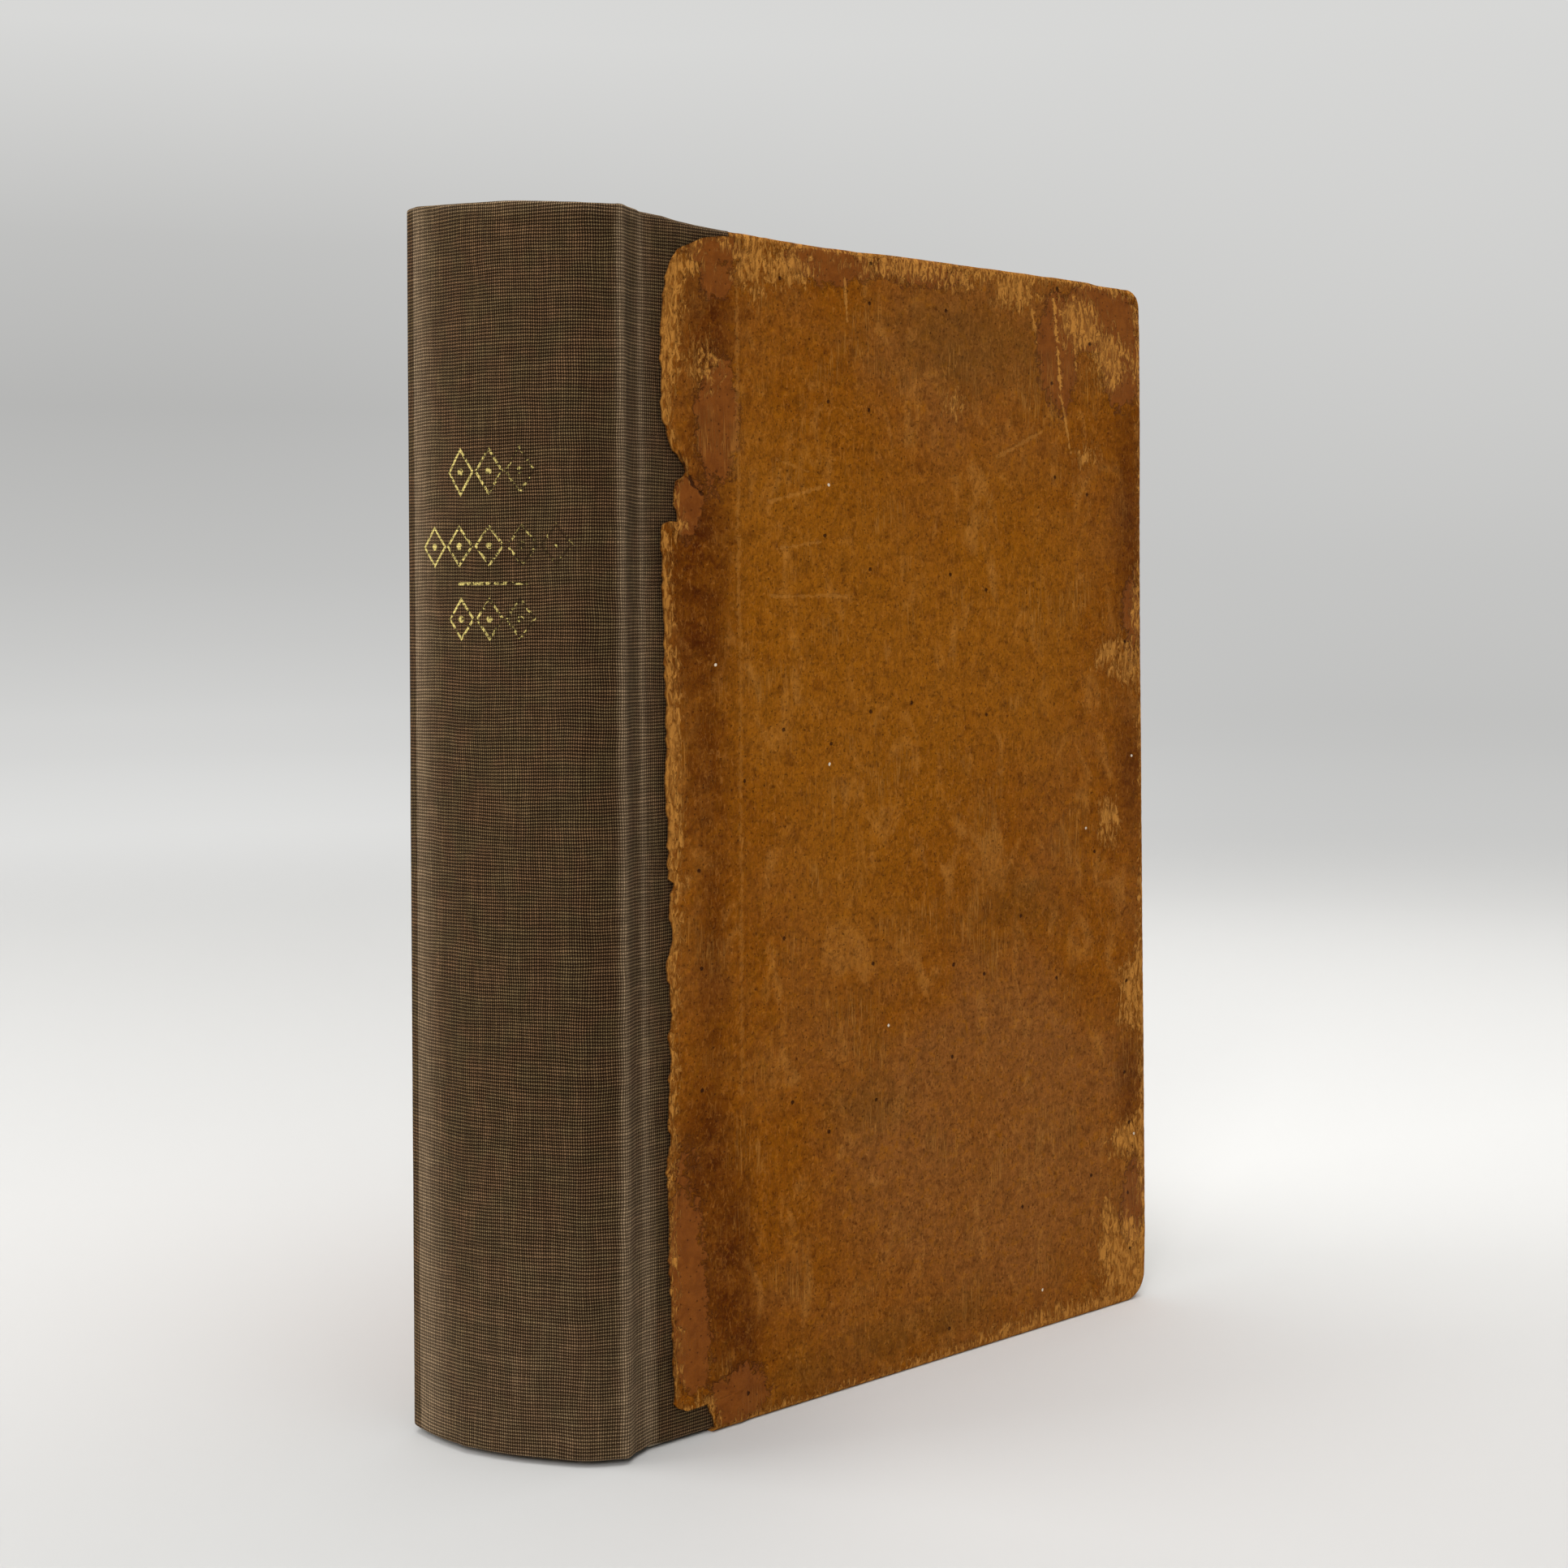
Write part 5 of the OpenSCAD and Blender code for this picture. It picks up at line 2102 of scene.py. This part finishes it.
FRONT_CRACKS = (
    Scratch((8.7, 179.5), (11.0, 175.5), 0.55, 1.0), Scratch((11.0, 175.5), (13.3, 173.8), 0.4, 0.9),
    Scratch((7.6, 181.4), (8.8, 179.4), 0.45, 0.8),
)
FRONT_SCRATCHES = (
    Scratch((111, 218), (113, 198), 0.95, 0.95), Scratch((113, 198), (116, 186), 0.6, 0.75),
    Scratch((103.5, 219), (105.3, 209), 0.8, 0.8), Scratch((117, 215), (118, 204), 0.7, 0.8),
    Scratch((30, 173), (43, 176), 0.7, 0.35), Scratch((93, 184), (107, 190), 0.7, 0.35),
    Scratch((32, 181), (40, 179), 0.6, 0.3), Scratch((32, 164), (43, 165.5), 0.6, 0.35),
    Scratch((30, 155), (50, 155), 0.6, 0.3), Scratch((50, 217), (50.5, 209), 0.6, 0.6),
    Scratch((133, 20), (127, 4), 0.8, 0.45), Scratch((21.9, 216), (21.9, 150), 0.9, 0.28),
    Scratch((22.2, 150), (22.0, 62), 0.9, 0.22),
)
BACK_LEATHER = CoverLeather(
    side=Side.BACK,
    tear=BACK_TEAR,
    ragged=0.36,
    seed=500,
    bare_tear=((0, 0.8), (40, 1.5), (90, 0.6), (130, 2.5), (180, 0.7), (223, 1.5)),
    blots={
        "bare": (
            Blot(28, 6, 9, 3), Blot(134, 120, 3, 12), Blot(100, 220, 16, 2.5),
            Blot(134, 9, 6, 8), Blot(130, 212, 6, 7), Blot(7, 206, 2.5, 8),
        ),
        "skin": (Blot(60, 3, 14, 3), Blot(134, 217, 5, 5), Blot(9, 190, 4, 12)),
        "dark": (
            Blot(13, 62, 5.5, 38), Blot(14, 110, 4, 30), Blot(13, 165, 6, 30),
            Blot(112, 6, 18, 4), Blot(128, 20, 4, 14),
        ),
        "dim": (Blot(40, 200, 14, 6), Blot(116, 96, 5, 20)),
        "gold": (Blot(50, 90, 30, 45), Blot(90, 60, 30, 30)),
        "grey_tone_and_sheen": (Blot(80, 180, 45, 30),),
    },
)
BACK_SCRATCHES = (
    Scratch((70, 60), (96, 74), 0.7, 0.4), Scratch((112, 190), (120, 172), 0.8, 0.6),
    Scratch((22.0, 205), (22.0, 20), 0.9, 0.35),
)


def dress_nodes(effects: Effects) -> None:
    """Gives every CAD node that stays in view its own finish.

    Args:
        effects: The shared node groups.
    """
    endpaper = Paper("endpaper").material(effects)
    board = Fibre("binder's board", (0.30, 0.24, 0.16), (0.15, 0.11, 0.07), 2.0, (1, 1, 0.4))
    lining = Fibre("lining paper", (0.52, 0.44, 0.30), (0.30, 0.22, 0.13), 4.0)
    inlay = Fibre("inlay card", (0.30, 0.25, 0.18), (0.17, 0.13, 0.09), 3.0)
    cord = Fibre("hemp cord", (0.45, 0.36, 0.21), (0.22, 0.15, 0.08), 0.6, (1, 0.3, 1))
    finishes = (
        (board.material(), ("front_board", "back_board")),
        (endpaper, ("front_flyleaf", "back_flyleaf", "front_pastedown", "back_pastedown")),
        (lining.material(), ("spine_lining",)),
        (inlay.material(), ("spine_inlay",)),
        (cord.material(), ("sewing_cords",)),
    )
    for material, names in finishes:
        for name in names:
            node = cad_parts[name]
            node.data.materials.clear()
            node.data.materials.append(material)
            LOG.info("CAD node %s has %s", name, material.name)


def report(piece: Piece) -> None:
    """Logs a piece and its number of faces."""
    LOG.info("built %s with %d faces", piece.name, len(piece.data.polygons))


def main() -> None:
    """Builds the studio, the shared effects and the pieces, in that order."""
    logging.basicConfig(level=logging.INFO, format="%(name)s: %(message)s", stream=sys.stdout)
    Studio().build()
    effects = Effects()
    dress_nodes(effects)
    cloth = BookCloth().material(effects)
    for side in Side:
        report(SpineCloth(side).build(cloth))
    calf = OldCalf()
    for leather, cracks, scratches in (
        (FRONT_LEATHER, FRONT_CRACKS, FRONT_SCRATCHES), (BACK_LEATHER, (), BACK_SCRATCHES),
    ):
        finish = calf.material(effects, leather.side, cracks, scratches)
        report(leather.build(finish))
    report(Leaves().build(LeafEdges().material(effects)))
    thread = BandThread().material()
    for band in (Endband("head_band", 221.05), Endband("tail_band", 1.95)):
        report(band.build(thread))


if __name__ == "__main__":
    main()
